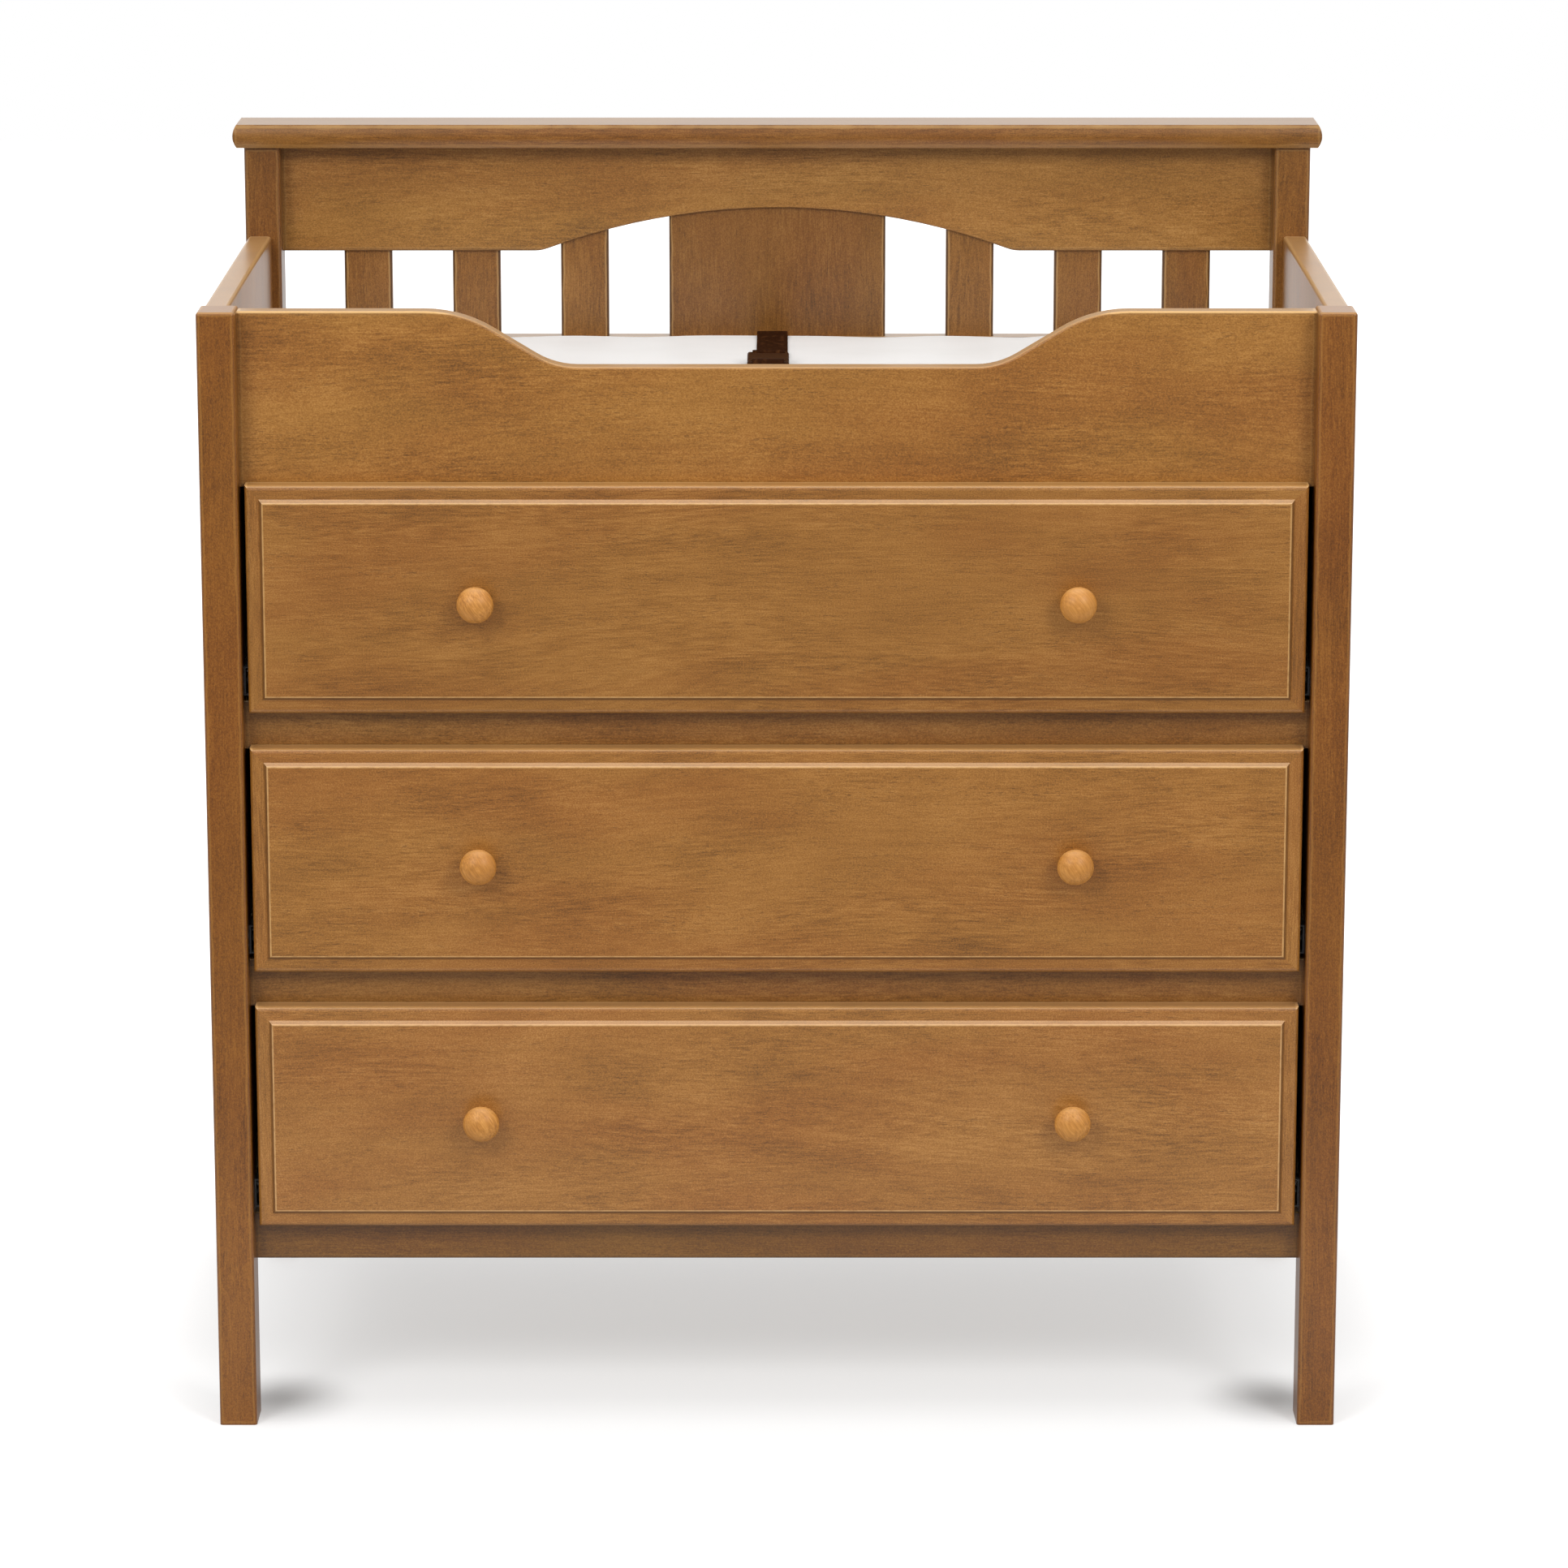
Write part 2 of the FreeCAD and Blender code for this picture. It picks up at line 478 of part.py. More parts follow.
def make_back(holes):
    """Arch rail, slats, tray rail, bottom rail, thin back panel and cap."""
    narrow, centre = make_slats()
    slats = narrow + [centre]
    crown = ARCH_RAIL_BOTTOM + ARCH_RISE
    spring_x = math.sqrt(ARCH_RADIUS ** 2 - (ARCH_RADIUS - ARCH_RISE) ** 2)
    spring = (spring_x, ARCH_RAIL_BOTTOM)
    top = (POST_INNER, BACK_POST_HEIGHT)
    end = (POST_INNER, ARCH_RAIL_BOTTOM)
    edges = [arc(mirrored(spring), (0, crown), spring, BACK_RAIL_FRONT),
             line(mirrored(top), top, BACK_RAIL_FRONT)]
    for flip in (lambda p: p, mirrored):
        edges += [line(flip(spring), flip(end), BACK_RAIL_FRONT),
                  line(flip(end), flip(top), BACK_RAIL_FRONT)]
    board = flat_board(edges, BACK_RAIL_FRONT, BACK_RAIL_THICKNESS)
    corners = [e for e in board.Edges if is_at(e.BoundBox.YLength, BACK_RAIL_THICKNESS)
               and is_at(abs(e.BoundBox.XMin), spring_x)]
    board = board.makeFillet(ARCH_BLEND_RADIUS, corners)
    board = rounded(board, ARCH_ROUND, BACK_RAIL_THICKNESS,
                    lambda b: is_at(b.YLength, 0) and b.ZMax < crown + OVERRUN)
    save("arch_rail", [without(board, holes + slats)])
    tray_rail = block(-POST_INNER, POST_INNER, BACK_RAIL_FRONT, CARCASS_DEPTH,
                      TRAY_RAIL_BOTTOM, TRAY_RAIL_TOP)
    wall_holes = []
    for side in SIDES.values():
        x, z = side * WALL_HOLE_SPACING / 2, TRAY_RAIL_BOTTOM + RAIL_HEIGHT / 2
        wall_holes.append(rod(WALL_HOLE_DIAMETER, place(x, CARCASS_DEPTH - WALL_HOLE_DEPTH, z),
                              place(x, CARCASS_DEPTH + OVERRUN, z)))
    save("back_tray_rail", [without(tray_rail, holes + slats + wall_holes)])
    low_rail = block(-POST_INNER, POST_INNER, BACK_RAIL_FRONT, CARCASS_DEPTH,
                     CARCASS_BOTTOM, CARCASS_BOTTOM + RAIL_HEIGHT)
    save("back_bottom_rail", [without(low_rail, holes)])
    save("narrow_slats", narrow)
    save("centre_slat", [centre])
    save("back_panel", [block(-POST_INNER, POST_INNER, BACK_RAIL_FRONT - BACK_PANEL_THICKNESS,
                              BACK_RAIL_FRONT, CARCASS_BOTTOM, TRAY_FLOOR_BOTTOM)])
    cap_half = HALF_WIDTH + CAP_END_OVERHANG
    front, rear = BACK_POST_FRONT - CAP_FRONT_OVERHANG, CARCASS_DEPTH + CAP_REAR_OVERHANG
    ends = swelled(-cap_half, cap_half, lambda x, z: place(x, front, z), Vector(0, rear - front, 0))
    sides = swelled(front, rear, lambda d, z: place(-cap_half, d, z), Vector(2 * cap_half, 0, 0))
    save("cap_rail", [ends.common(sides)])


def swelled(low, high, spot, way):
    """Bar as thick as the cap, with two faces that swell to low and high at mid height."""
    bottom, top = BACK_POST_HEIGHT, BACK_POST_HEIGHT + CAP_THICKNESS
    middle = (bottom + top) / 2
    corners = [spot(u, z) for u, z in [(low + CAP_BULGE, bottom), (high - CAP_BULGE, bottom),
                                       (high - CAP_BULGE, top), (low + CAP_BULGE, top)]]
    edges = [Part.makeLine(corners[0], corners[1]),
             Part.Arc(corners[1], spot(high, middle), corners[2]).toShape(),
             Part.makeLine(corners[2], corners[3]),
             Part.Arc(corners[3], spot(low, middle), corners[0]).toShape()]
    return Part.Face(Part.Wire(edges)).extrude(way)


def make_tray():
    """Tray floor and the cleats that carry it."""
    notches = [block(side * POST_INNER, side * HALF_WIDTH, BACK_POST_FRONT, CARCASS_DEPTH,
                     TRAY_FLOOR_BOTTOM, TRAY_FLOOR_TOP) for side in SIDES.values()]
    floor = block(-SIDE_INNER, SIDE_INNER, POST_DEPTH, BACK_RAIL_FRONT,
                  TRAY_FLOOR_BOTTOM, TRAY_FLOOR_TOP)
    save("tray_floor", [without(floor, notches)])
    low = TRAY_FLOOR_BOTTOM - CLEAT_SIZE
    cleats = [block(side * SIDE_INNER, side * (SIDE_INNER - CLEAT_SIZE), POST_DEPTH,
                    BACK_POST_FRONT, low, TRAY_FLOOR_BOTTOM) for side in SIDES.values()]
    inner = SIDE_INNER - CLEAT_SIZE
    cleats.append(block(-inner, inner, POST_DEPTH, POST_DEPTH + CLEAT_SIZE, low,
                        TRAY_FLOOR_BOTTOM))
    save("tray_cleats", cleats)


# ---------------------------------------------------------------- slides
def roller_height(opening_bottom):
    """Height of the rollers' axes in an opening."""
    return opening_bottom + DRAWER_LIFT + ROLLER_ABOVE_SIDE


def axle(side, base, direction, depth, z):
    """Shouldered and headed axle that stands on a slide member's web at x = base, with the
    x values between which its roller turns. direction is +1 away from the middle."""
    shoulder_end = base + direction * AXLE_SHOULDER
    near = shoulder_end + direction * ROLLER_SIDE_PLAY
    far = near + direction * ROLLER_WIDTH
    head_start = far + direction * ROLLER_SIDE_PLAY
    head_end = head_start + direction * AXLE_HEAD_THICKNESS
    at = lambda x: place(side * x, depth, z)
    solid = joined([rod(AXLE_HEAD_DIAMETER, at(base), at(shoulder_end)),
                    rod(AXLE_DIAMETER, at(base), at(head_end)),
                    rod(AXLE_HEAD_DIAMETER, at(head_start), at(head_end))])
    roller = rod(ROLLER_DIAMETER, at(near), at(far))
    bore = rod(AXLE_DIAMETER + 2 * AXLE_CLEARANCE, at(near), at(far))
    return solid, roller.cut(bore)


def fixed_slide(side, opening_bottom):
    """Slide member on the carcass, and its roller at the front end."""
    z = roller_height(opening_bottom)
    back = SLIDE_FRONT + SLIDE_LENGTH
    web = POST_INNER - SLIDE_SHEET
    track_top = z - TRACK_HALF
    lip_bottom = z + TRACK_HALF + SLIDE_SHEET + LIP_CLEARANCE
    lip_top = lip_bottom + SLIDE_SHEET
    track_bottom = track_top - SLIDE_SHEET
    member = [block(side * web, side * POST_INNER, SLIDE_FRONT, back, track_bottom, lip_top),
              block(side * (POST_INNER - TRACK_WIDTH), side * POST_INNER, SLIDE_FRONT, back,
                    track_bottom, track_top),
              block(side * (POST_INNER - LIP_WIDTH), side * POST_INNER, SLIDE_FRONT, back,
                    lip_bottom, lip_top)]
    pin, roller = axle(side, web, -1, SLIDE_FRONT + ROLLER_INSET, z)
    return joined(member + [pin]), roller


def moving_slide(side, opening_bottom):
    """Slide member under a drawer side, and its roller at the rear end."""
    z = roller_height(opening_bottom)
    low = opening_bottom + DRAWER_LIFT
    web = BOX_HALF + SLIDE_SHEET
    carry = z + TRACK_HALF
    member = [block(side * BOX_HALF, side * web, FRONT_REAR, BOX_REAR, low - SLIDE_SHEET,
                    carry + SLIDE_SHEET),
              block(side * (BOX_HALF - SHELF_WIDTH), side * web, FRONT_REAR, BOX_REAR,
                    low - SLIDE_SHEET, low),
              block(side * BOX_HALF, side * (POST_INNER - SLIDE_SHEET - CARRY_CLEARANCE),
                    FRONT_REAR, BOX_REAR, carry, carry + SLIDE_SHEET)]
    pin, roller = axle(side, web, 1, BOX_REAR - ROLLER_INSET, z)
    return joined(member + [pin]), roller


def make_slides():
    """Slide members, rollers and the wood strips behind the fixed members."""
    members, strips = [], []
    for name, bottom in zip(DRAWER_NAMES, OPENING_BOTTOMS):
        fixed = [fixed_slide(side, bottom) for side in SIDES.values()]
        moving = [moving_slide(side, bottom) for side in SIDES.values()]
        members += [m for m, _ in fixed]
        save(name + "_drawer_slides", [m for m, _ in moving])
        save(name + "_fixed_rollers", [r for _, r in fixed])
        save(name + "_drawer_rollers", [r for _, r in moving])
        middle = roller_height(bottom)
        strips += [block(side * POST_INNER, side * SIDE_INNER, POST_DEPTH, BACK_POST_FRONT,
                         middle - SPACER_HEIGHT / 2, middle + SPACER_HEIGHT / 2)
                   for side in SIDES.values()]
    save("fixed_slides", members)
    save("slide_spacers", strips)


# ---------------------------------------------------------------- drawers
def drawer_front(bottom):
    """Overlaid front with a rounded outer edge and a raised field."""
    half = FRONT_HALF
    low = bottom - FRONT_LAP_BELOW
    high = low + FRONT_HEIGHT
    border = FRONT_FACE + FIELD_RAISE
    slab = block(-half, half, border, FRONT_REAR, low, high)
    slab = rounded(slab, FRONT_EDGE_ROUND, FRONT_THICKNESS,
                   lambda b: is_at(b.YMax, FRONT_Y + border))
    outlines = []
    for depth, inset in ((border, FIELD_INSET - FIELD_RAISE), (FRONT_FACE, FIELD_INSET)):
        x, z0, z1 = half - inset, low + inset, high - inset
        corners = [place(-x, depth, z0), place(x, depth, z0), place(x, depth, z1),
                   place(-x, depth, z1)]
        outlines.append(Part.makePolygon(corners + corners[:1]))
    field = Part.makeLoft(outlines, True, True)
    field = rounded(field, FIELD_ARRIS, FRONT_THICKNESS,
                    lambda b: is_at(b.YMax, FRONT_Y + FRONT_FACE))
    return joined([slab, field])


def knob(x, z):
    """Turned knob: flared foot, neck, rounded rim and a shallow dome tangent to the rim."""
    rim = KNOB_DIAMETER / 2
    foot = KNOB_FOOT_DIAMETER / 2
    neck = KNOB_NECK_DIAMETER / 2
    rim_centre = rim - KNOB_RIM_ROUND
    rise = KNOB_PROJECTION - KNOB_RIM_HEIGHT
    dome = (rim_centre ** 2 + rise ** 2 - KNOB_RIM_ROUND ** 2) / (2 * (rise - KNOB_RIM_ROUND))
    lean = math.asin(rim_centre / (dome - KNOB_RIM_ROUND))
    half = lean / 2
    dome_base = KNOB_PROJECTION - dome
    turn = (lean + math.pi / 2) / 2
    at = lambda r, h: place(x + r, FRONT_FACE - h, z)
    foot_end = at(foot, 0)
    neck_top = at(neck, KNOB_NECK_HEIGHT)
    rim_side = at(rim, KNOB_RIM_HEIGHT)
    rim_top = at(dome * math.sin(lean), dome_base + dome * math.cos(lean))
    crown = at(0, KNOB_PROJECTION)
    flare = at((foot + neck) / 2 - KNOB_HOLLOW, KNOB_NECK_HEIGHT / 2)
    bell = at((rim + neck) / 2 + KNOB_HOLLOW,
              (KNOB_NECK_HEIGHT + KNOB_RIM_HEIGHT) / 2 - KNOB_HOLLOW)
    rim_mid = at(rim_centre + KNOB_RIM_ROUND * math.sin(turn),
                 KNOB_RIM_HEIGHT + KNOB_RIM_ROUND * math.cos(turn))
    dome_mid = at(dome * math.sin(half), dome_base + dome * math.cos(half))
    wire = Part.Wire([Part.makeLine(at(0, 0), foot_end),
                      Part.Arc(foot_end, flare, neck_top).toShape(),
                      Part.Arc(neck_top, bell, rim_side).toShape(),
                      Part.Arc(rim_side, rim_mid, rim_top).toShape(),
                      Part.Arc(rim_top, dome_mid, crown).toShape(),
                      Part.makeLine(crown, at(0, 0))])
    return Part.Face(wire).revolve(place(x, FRONT_FACE, z), Vector(0, 1, 0), 360)


def make_drawer(name, bottom):
    """One drawer: front, two sides, back, bottom panel, knobs and knob screws."""
    low = bottom + DRAWER_LIFT
    high = low + DRAWER_SIDE_HEIGHT
    inner = BOX_HALF - DRAWER_BOARD
    floor_low = low + DRAWER_BOTTOM_RISE
    floor = block(-inner - DRAWER_GROOVE, inner + DRAWER_GROOVE, FRONT_REAR - DRAWER_GROOVE,
                  BOX_REAR - DRAWER_BOARD + DRAWER_GROOVE, floor_low,
                  floor_low + DRAWER_BOTTOM_THICKNESS)
    middle = bottom - FRONT_LAP_BELOW + FRONT_HEIGHT / 2
    knobs, screws, ways = [], [], []
    for side in SIDES.values():
        x = side * KNOB_SPACING / 2
        tip = place(x, FRONT_FACE - KNOB_BORE_DEPTH + SCREW_TIP_GAP, middle)
        seat = place(x, FRONT_REAR, middle)
        end = place(x, FRONT_REAR + SCREW_HEAD_HEIGHT, middle)
        way = rod(SCREW_DIAMETER + 2 * SCREW_CLEARANCE,
                  place(x, FRONT_FACE - KNOB_BORE_DEPTH, middle), seat)
        knobs.append(knob(x, middle).cut(way))
        screws.append(joined([rod(SCREW_DIAMETER, tip, seat),
                              rod(SCREW_HEAD_DIAMETER, seat, end)]))
        ways.append(way)
    save(name + "_drawer_front", [without(drawer_front(bottom), ways + [floor])])
    for which, side in SIDES.items():
        board = block(side * inner, side * BOX_HALF, FRONT_REAR, BOX_REAR, low, high)
        board = rounded(board, BOARD_ROUND, DRAWER_BOARD,
                        lambda b: is_at(b.ZMin, high) and is_at(b.XLength, 0))
        save(name + "_drawer_side_" + which, [board.cut(floor)])
    back = block(-inner, inner, BOX_REAR - DRAWER_BOARD, BOX_REAR, low, high)
    back = rounded(back, BOARD_ROUND, DRAWER_BOARD,
                   lambda b: is_at(b.ZMin, high) and is_at(b.YLength, 0))
    save(name + "_drawer_back", [back.cut(floor)])
    save(name + "_drawer_bottom", [floor])
    save(name + "_knobs", knobs)
    save(name + "_knob_screws", screws)


# ---------------------------------------------------------------- pad, belt and buckle
def pad_outline(inset, rise):
    """Pad's outline at a height: straight-cornered with rounded corners, its sides drawn in."""
    x = PAD_LENGTH / 2 - inset
    y = PAD_DEPTH / 2 - inset
    r = PAD_CORNER_RADIUS
    z = TRAY_FLOOR_TOP + rise
    bite = r * (1 - math.sqrt(0.5))
    at = lambda px, py: place(px, PAD_MIDDLE + py, z)
    spots = [at(-x + r, -y), at(0, -y + PAD_WAIST), at(x - r, -y), at(x - bite, -y + bite),
             at(x, -y + r), at(x - PAD_WAIST, 0), at(x, y - r), at(x - bite, y - bite),
             at(x - r, y), at(0, y - PAD_WAIST), at(-x + r, y), at(-x + bite, y - bite),
             at(-x, y - r), at(-x + PAD_WAIST, 0), at(-x, -y + r), at(-x + bite, -y + bite)]
    spots.append(spots[0])
    arcs = [Part.Arc(*spots[i:i + 3]).toShape() for i in range(0, 16, 2)]
    return Part.Wire(arcs)


def make_pad():
    """Crowned pad whose sides bulge at mid height and draw in between the corners."""
    outlines = [pad_outline(inset * PAD_EDGE_HEIGHT, side * PAD_EDGE_HEIGHT + top * PAD_CROWN)
                for inset, side, top in PAD_PROFILE]
    pad = Part.makeLoft(outlines, True, True)
    save("changing_pad", [pad])
    return pad


def belt_band():
    """Belt in one length, up the pad's rear side, over its crown and down its front side."""
    half = PAD_DEPTH / 2 - PAD_WAIST
    loops = []
    for off in (BELT_OFF_PAD, BELT_OFF_PAD + BELT_THICKNESS):
        y, r = half + off, BELT_BEND + off
        edge = PAD_EDGE_HEIGHT + off
        crown = PAD_EDGE_HEIGHT + PAD_CROWN + off
        cut = r * (1 - math.sqrt(0.5))
        at = lambda py, pz: place(0, PAD_MIDDLE + py, TRAY_FLOOR_TOP + pz)
        loops.append([at(-y, BELT_TAIL), at(-y, edge - r), at(-y + cut, edge - cut),
                      at(-y + r, edge), at(0, crown), at(y - r, edge), at(y - cut, edge - cut),
                      at(y, edge - r), at(y, BELT_TAIL)])
    edges = []
    for p in loops:
        edges += [Part.makeLine(p[0], p[1]), Part.Arc(p[1], p[2], p[3]).toShape(),
                  Part.Arc(p[3], p[4], p[5]).toShape(), Part.Arc(p[5], p[6], p[7]).toShape(),
                  Part.makeLine(p[7], p[8])]
    edges += [Part.makeLine(loops[0][0], loops[1][0]), Part.makeLine(loops[0][-1], loops[1][-1])]
    wire = Part.Wire(Part.__sortEdges__(edges))
    band = Part.Face(wire).extrude(Vector(BELT_WIDTH, 0, 0))
    band.translate(Vector(BELT_ASIDE - BELT_WIDTH / 2, 0, 0))
    return band


def make_buckle():
    """Side-release buckle: hollow socket, and a plug with a tongue and two hooked prongs."""
    floor = TRAY_FLOOR_TOP + PAD_EDGE_HEIGHT + PAD_CROWN + BELT_OFF_PAD + BELT_THICKNESS
    top = floor + BUCKLE_HEIGHT
    half = BUCKLE_WIDTH / 2
    slot_half = BELT_WIDTH / 2 + BUCKLE_WALL / 2
    mouth = BUCKLE_REAR - SOCKET_LENGTH
    socket = block(-half, half, mouth, BUCKLE_REAR, floor, top)
    socket = rounded(socket, BUCKLE_ROUND, BUCKLE_HEIGHT,
                     lambda b: upright(b) or is_at(b.ZMin, top))
    hollow_low, hollow_high = floor + BUCKLE_WALL, top - BUCKLE_WALL
    hollow_back = mouth + PRONG_LENGTH + OVERRUN
    room = half - BUCKLE_WALL
    bar_end = BUCKLE_REAR - BUCKLE_BAR
    middle = mouth + CATCH_DEPTH
    low_cut, high_cut = floor - OVERRUN, top + OVERRUN
    cuts = [block(-room, room, mouth - OVERRUN, hollow_back, hollow_low, hollow_high),
            block(-slot_half, slot_half, bar_end - BUCKLE_SLOT, bar_end, low_cut, high_cut),
            block(-half - OVERRUN, half + OVERRUN, middle - WINDOW_LENGTH / 2,
                  middle + WINDOW_LENGTH / 2, hollow_low, hollow_high)]
    aside = Vector(BELT_ASIDE, 0, 0)
    save("buckle_socket", [without(socket, cuts).translated(aside)])
    plug_front = mouth - PLUG_LENGTH
    head = block(-half, half, plug_front, mouth - PRONG_PLAY, floor, top)
    head = rounded(head, BUCKLE_ROUND, BUCKLE_HEIGHT, lambda b: upright(b) or is_at(b.ZMin, top))
    slot_front = plug_front + BUCKLE_BAR
    head = head.cut(block(-slot_half, slot_half, slot_front, slot_front + BUCKLE_SLOT,
                          low_cut, high_cut))
    low, high = hollow_low + PRONG_PLAY, hollow_high - PRONG_PLAY
    arm = room - PRONG_PLAY
    root = mouth - ARM_ROOT
    catch_front, catch_rear = middle - HOOK_LENGTH / 2, middle + HOOK_LENGTH / 2
    parts = [head, block(-PRONG_WIDTH, PRONG_WIDTH, root, mouth + PRONG_LENGTH, low, high)]
    for side in SIDES.values():
        inner = side * (arm - PRONG_WIDTH)
        parts.append(block(inner, side * arm, root, mouth + ARM_LENGTH, low, high))
        parts.append(block(inner, side * (arm + PRONG_HOOK), catch_front, catch_rear, low, high))
    save("buckle_plug", [joined(parts).translated(aside)])
    return block(BELT_ASIDE - BUCKLE_WIDTH, BELT_ASIDE + BUCKLE_WIDTH, plug_front + BUCKLE_BAR,
                 BUCKLE_REAR - BUCKLE_BAR, TRAY_FLOOR_TOP, top)


def main():
    """Build and write every piece."""
    holes = fasten()
    make_posts(holes)
    make_side_panels(holes)
    make_guard_panel(holes)
    make_front_rails(holes)
    make_back(holes)
    make_tray()
    make_slides()
    for name, bottom in zip(DRAWER_NAMES, OPENING_BOTTOMS):
        make_drawer(name, bottom)
    pad = make_pad()
    belt_gap = make_buckle()
    band = belt_band()
    print("belt inside pad", round(band.common(pad).Volume, 2), "mm3")
    save("pad_belt", [band.cut(belt_gap)])


main()
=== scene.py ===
"""Looks of a changing dresser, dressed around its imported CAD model.

The finishes of every CAD piece, the changing pad as a pressed foam cushion, its belt as woven
webbing, a pale floor, soft light and the photograph's camera. Metres, in the CAD's own frame:
X to the right seen from the front, Y to the back, Z up, the origin on the floor.
"""
import logging
import math
from dataclasses import dataclass, field
from enum import Enum
from functools import reduce

import bpy
import numpy as np
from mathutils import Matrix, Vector
from mathutils.bvhtree import BVHTree


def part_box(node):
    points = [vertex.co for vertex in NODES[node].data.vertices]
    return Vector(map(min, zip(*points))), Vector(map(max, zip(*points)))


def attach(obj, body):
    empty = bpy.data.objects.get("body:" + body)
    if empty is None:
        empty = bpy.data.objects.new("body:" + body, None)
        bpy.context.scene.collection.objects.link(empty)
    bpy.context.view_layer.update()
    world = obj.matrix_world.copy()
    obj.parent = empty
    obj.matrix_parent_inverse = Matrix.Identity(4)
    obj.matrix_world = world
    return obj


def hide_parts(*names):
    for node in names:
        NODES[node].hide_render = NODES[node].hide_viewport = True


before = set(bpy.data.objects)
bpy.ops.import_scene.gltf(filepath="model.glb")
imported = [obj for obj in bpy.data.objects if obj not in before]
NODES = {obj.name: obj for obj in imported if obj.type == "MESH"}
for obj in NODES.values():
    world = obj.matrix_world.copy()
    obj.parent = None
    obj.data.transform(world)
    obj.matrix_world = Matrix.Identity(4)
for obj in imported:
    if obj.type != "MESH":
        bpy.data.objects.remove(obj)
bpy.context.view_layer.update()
LOG = logging.getLogger("changing_dresser")
DRAWERS = ("bottom", "middle", "top")
SLATS_BESIDE = 3                   # narrow slats on each side of the centre slat
GOLDEN_SHARE = 0.6180339887        # spreads the boards' places in the grain evenly
GRAIN_ROOM = 7.0                   # metres of grain that those places are picked from
MILLIMETRE = 0.001

Socket = bpy.types.NodeSocket
Colour = tuple[float, float, float]
Triple = tuple[float, float, float]
Span = tuple[float, float]


# ------------------------------------------------------------------ node trees
class Wiring:
    """Adds nodes to one tree and joins them. A value given for an input is either a socket,
    which is linked, or a number or tuple, which is set."""

    def __init__(self, tree: bpy.types.NodeTree) -> None:
        """Start on a tree.

        Args:
            tree: node tree of a material, a world or a group.
        """
        self.tree = tree

    def add(self, kind: str, inputs: dict | None = None, **settings: object) -> bpy.types.Node:
        """Add a node.

        Args:
            kind: the node's type without "ShaderNode", or its whole type after a "!".
            inputs: values or sockets by input name or number.
            settings: the node's own properties.

        Returns:
            The new node.
        """
        node = self.tree.nodes.new("ShaderNode" + kind if kind[0] != "!" else kind[1:])
        for name, value in settings.items():
            setattr(node, name, value)
        for name, value in (inputs or {}).items():
            self.feed(node.inputs[name], value)
        return node

    def feed(self, target: Socket, value: object) -> None:
        """Link a socket or set a plain value on an input.

        Args:
            target: the input.
            value: the socket or value; None leaves the input as it is.
        """
        if isinstance(value, bpy.types.NodeSocket):
            self.tree.links.new(value, target)
        elif value is not None:
            if target.type == "RGBA" and len(value) == 3:
                value = (*value, 1.0)
            target.default_value = value

    def group(self, tree: bpy.types.NodeTree, **inputs: object) -> dict[str, Socket]:
        """Place a group.

        Args:
            tree: the group's tree.
            inputs: values or sockets by input name.

        Returns:
            Its outputs by name.
        """
        node = self.add("Group", node_tree=tree)
        for name, value in inputs.items():
            self.feed(node.inputs[name], value)
        return {socket.name: socket for socket in node.outputs}

    def calc(self, operation: str, *values: object, clamp: bool = False) -> Socket:
        """One Math node on one, two or three values, as its output."""
        node = self.add("Math", dict(enumerate(values)), operation=operation, use_clamp=clamp)
        return node.outputs[0]

    def vector(self, operation: str, *values: object) -> Socket:
        """One Vector Math node on up to three vectors, as its vector output."""
        return self.add("VectorMath", dict(enumerate(values)), operation=operation).outputs[0]

    def product(self, *values: object) -> Socket:
        """Product of two or more numbers."""
        return reduce(lambda first, second: self.calc("MULTIPLY", first, second), values)

    def channels(self, vector: Socket) -> list[Socket]:
        """The three channels of a vector."""
        return list(self.add("SeparateXYZ", {0: vector}).outputs)

    def join(self, *channels: object) -> Socket:
        """A vector from two or three channels."""
        return self.add("CombineXYZ", dict(enumerate(channels))).outputs[0]

    def length(self, vector: Socket) -> Socket:
        """Length of a vector."""
        return self.add("VectorMath", {0: vector}, operation="LENGTH").outputs["Value"]

    def noise(self, where: Socket, stretch: Triple, detail: float = 2.0,
              roughness: float = 0.5, colour: bool = False) -> Socket:
        """Noise stretched by a frequency along each axis, in waves per metre.

        Args:
            where: coordinates in metres.
            stretch: waves per metre along X, Y and Z.
            detail: octaves.
            roughness: share that each octave keeps.
            colour: give the three-channel output in place of the single one.

        Returns:
            The noise's output socket.
        """
        scaled = self.vector("MULTIPLY", where, stretch)
        node = self.add("TexNoise", {"Vector": scaled, "Scale": 1.0, "Detail": detail,
                                     "Roughness": roughness})
        return node.outputs["Color" if colour else "Fac"]

    def swing(self, where: Socket, stretch: Triple, detail: float = 2.0,
              roughness: float = 0.5) -> Socket:
        """The same noise, swinging about nought."""
        return self.calc("SUBTRACT", self.noise(where, stretch, detail, roughness), 0.5)

    def ramp(self, value: Socket, low: float, high: float, start: float = 0.0,
             end: float = 1.0) -> Socket:
        """Smooth step of a value from low to high, onto start to end."""
        node = self.add("MapRange", {"Value": value, "From Min": low, "From Max": high,
                                     "To Min": start, "To Max": end},
                        interpolation_type="SMOOTHSTEP")
        return node.outputs[0]

    def mix(self, share: object, first: object, second: object, blend: str = "MIX") -> Socket:
        """Mix two colours by a share, as the colour output."""
        node = self.add("Mix", {0: share, 6: first, 7: second}, data_type="RGBA",
                        blend_type=blend, clamp_factor=True)
        return node.outputs[2]

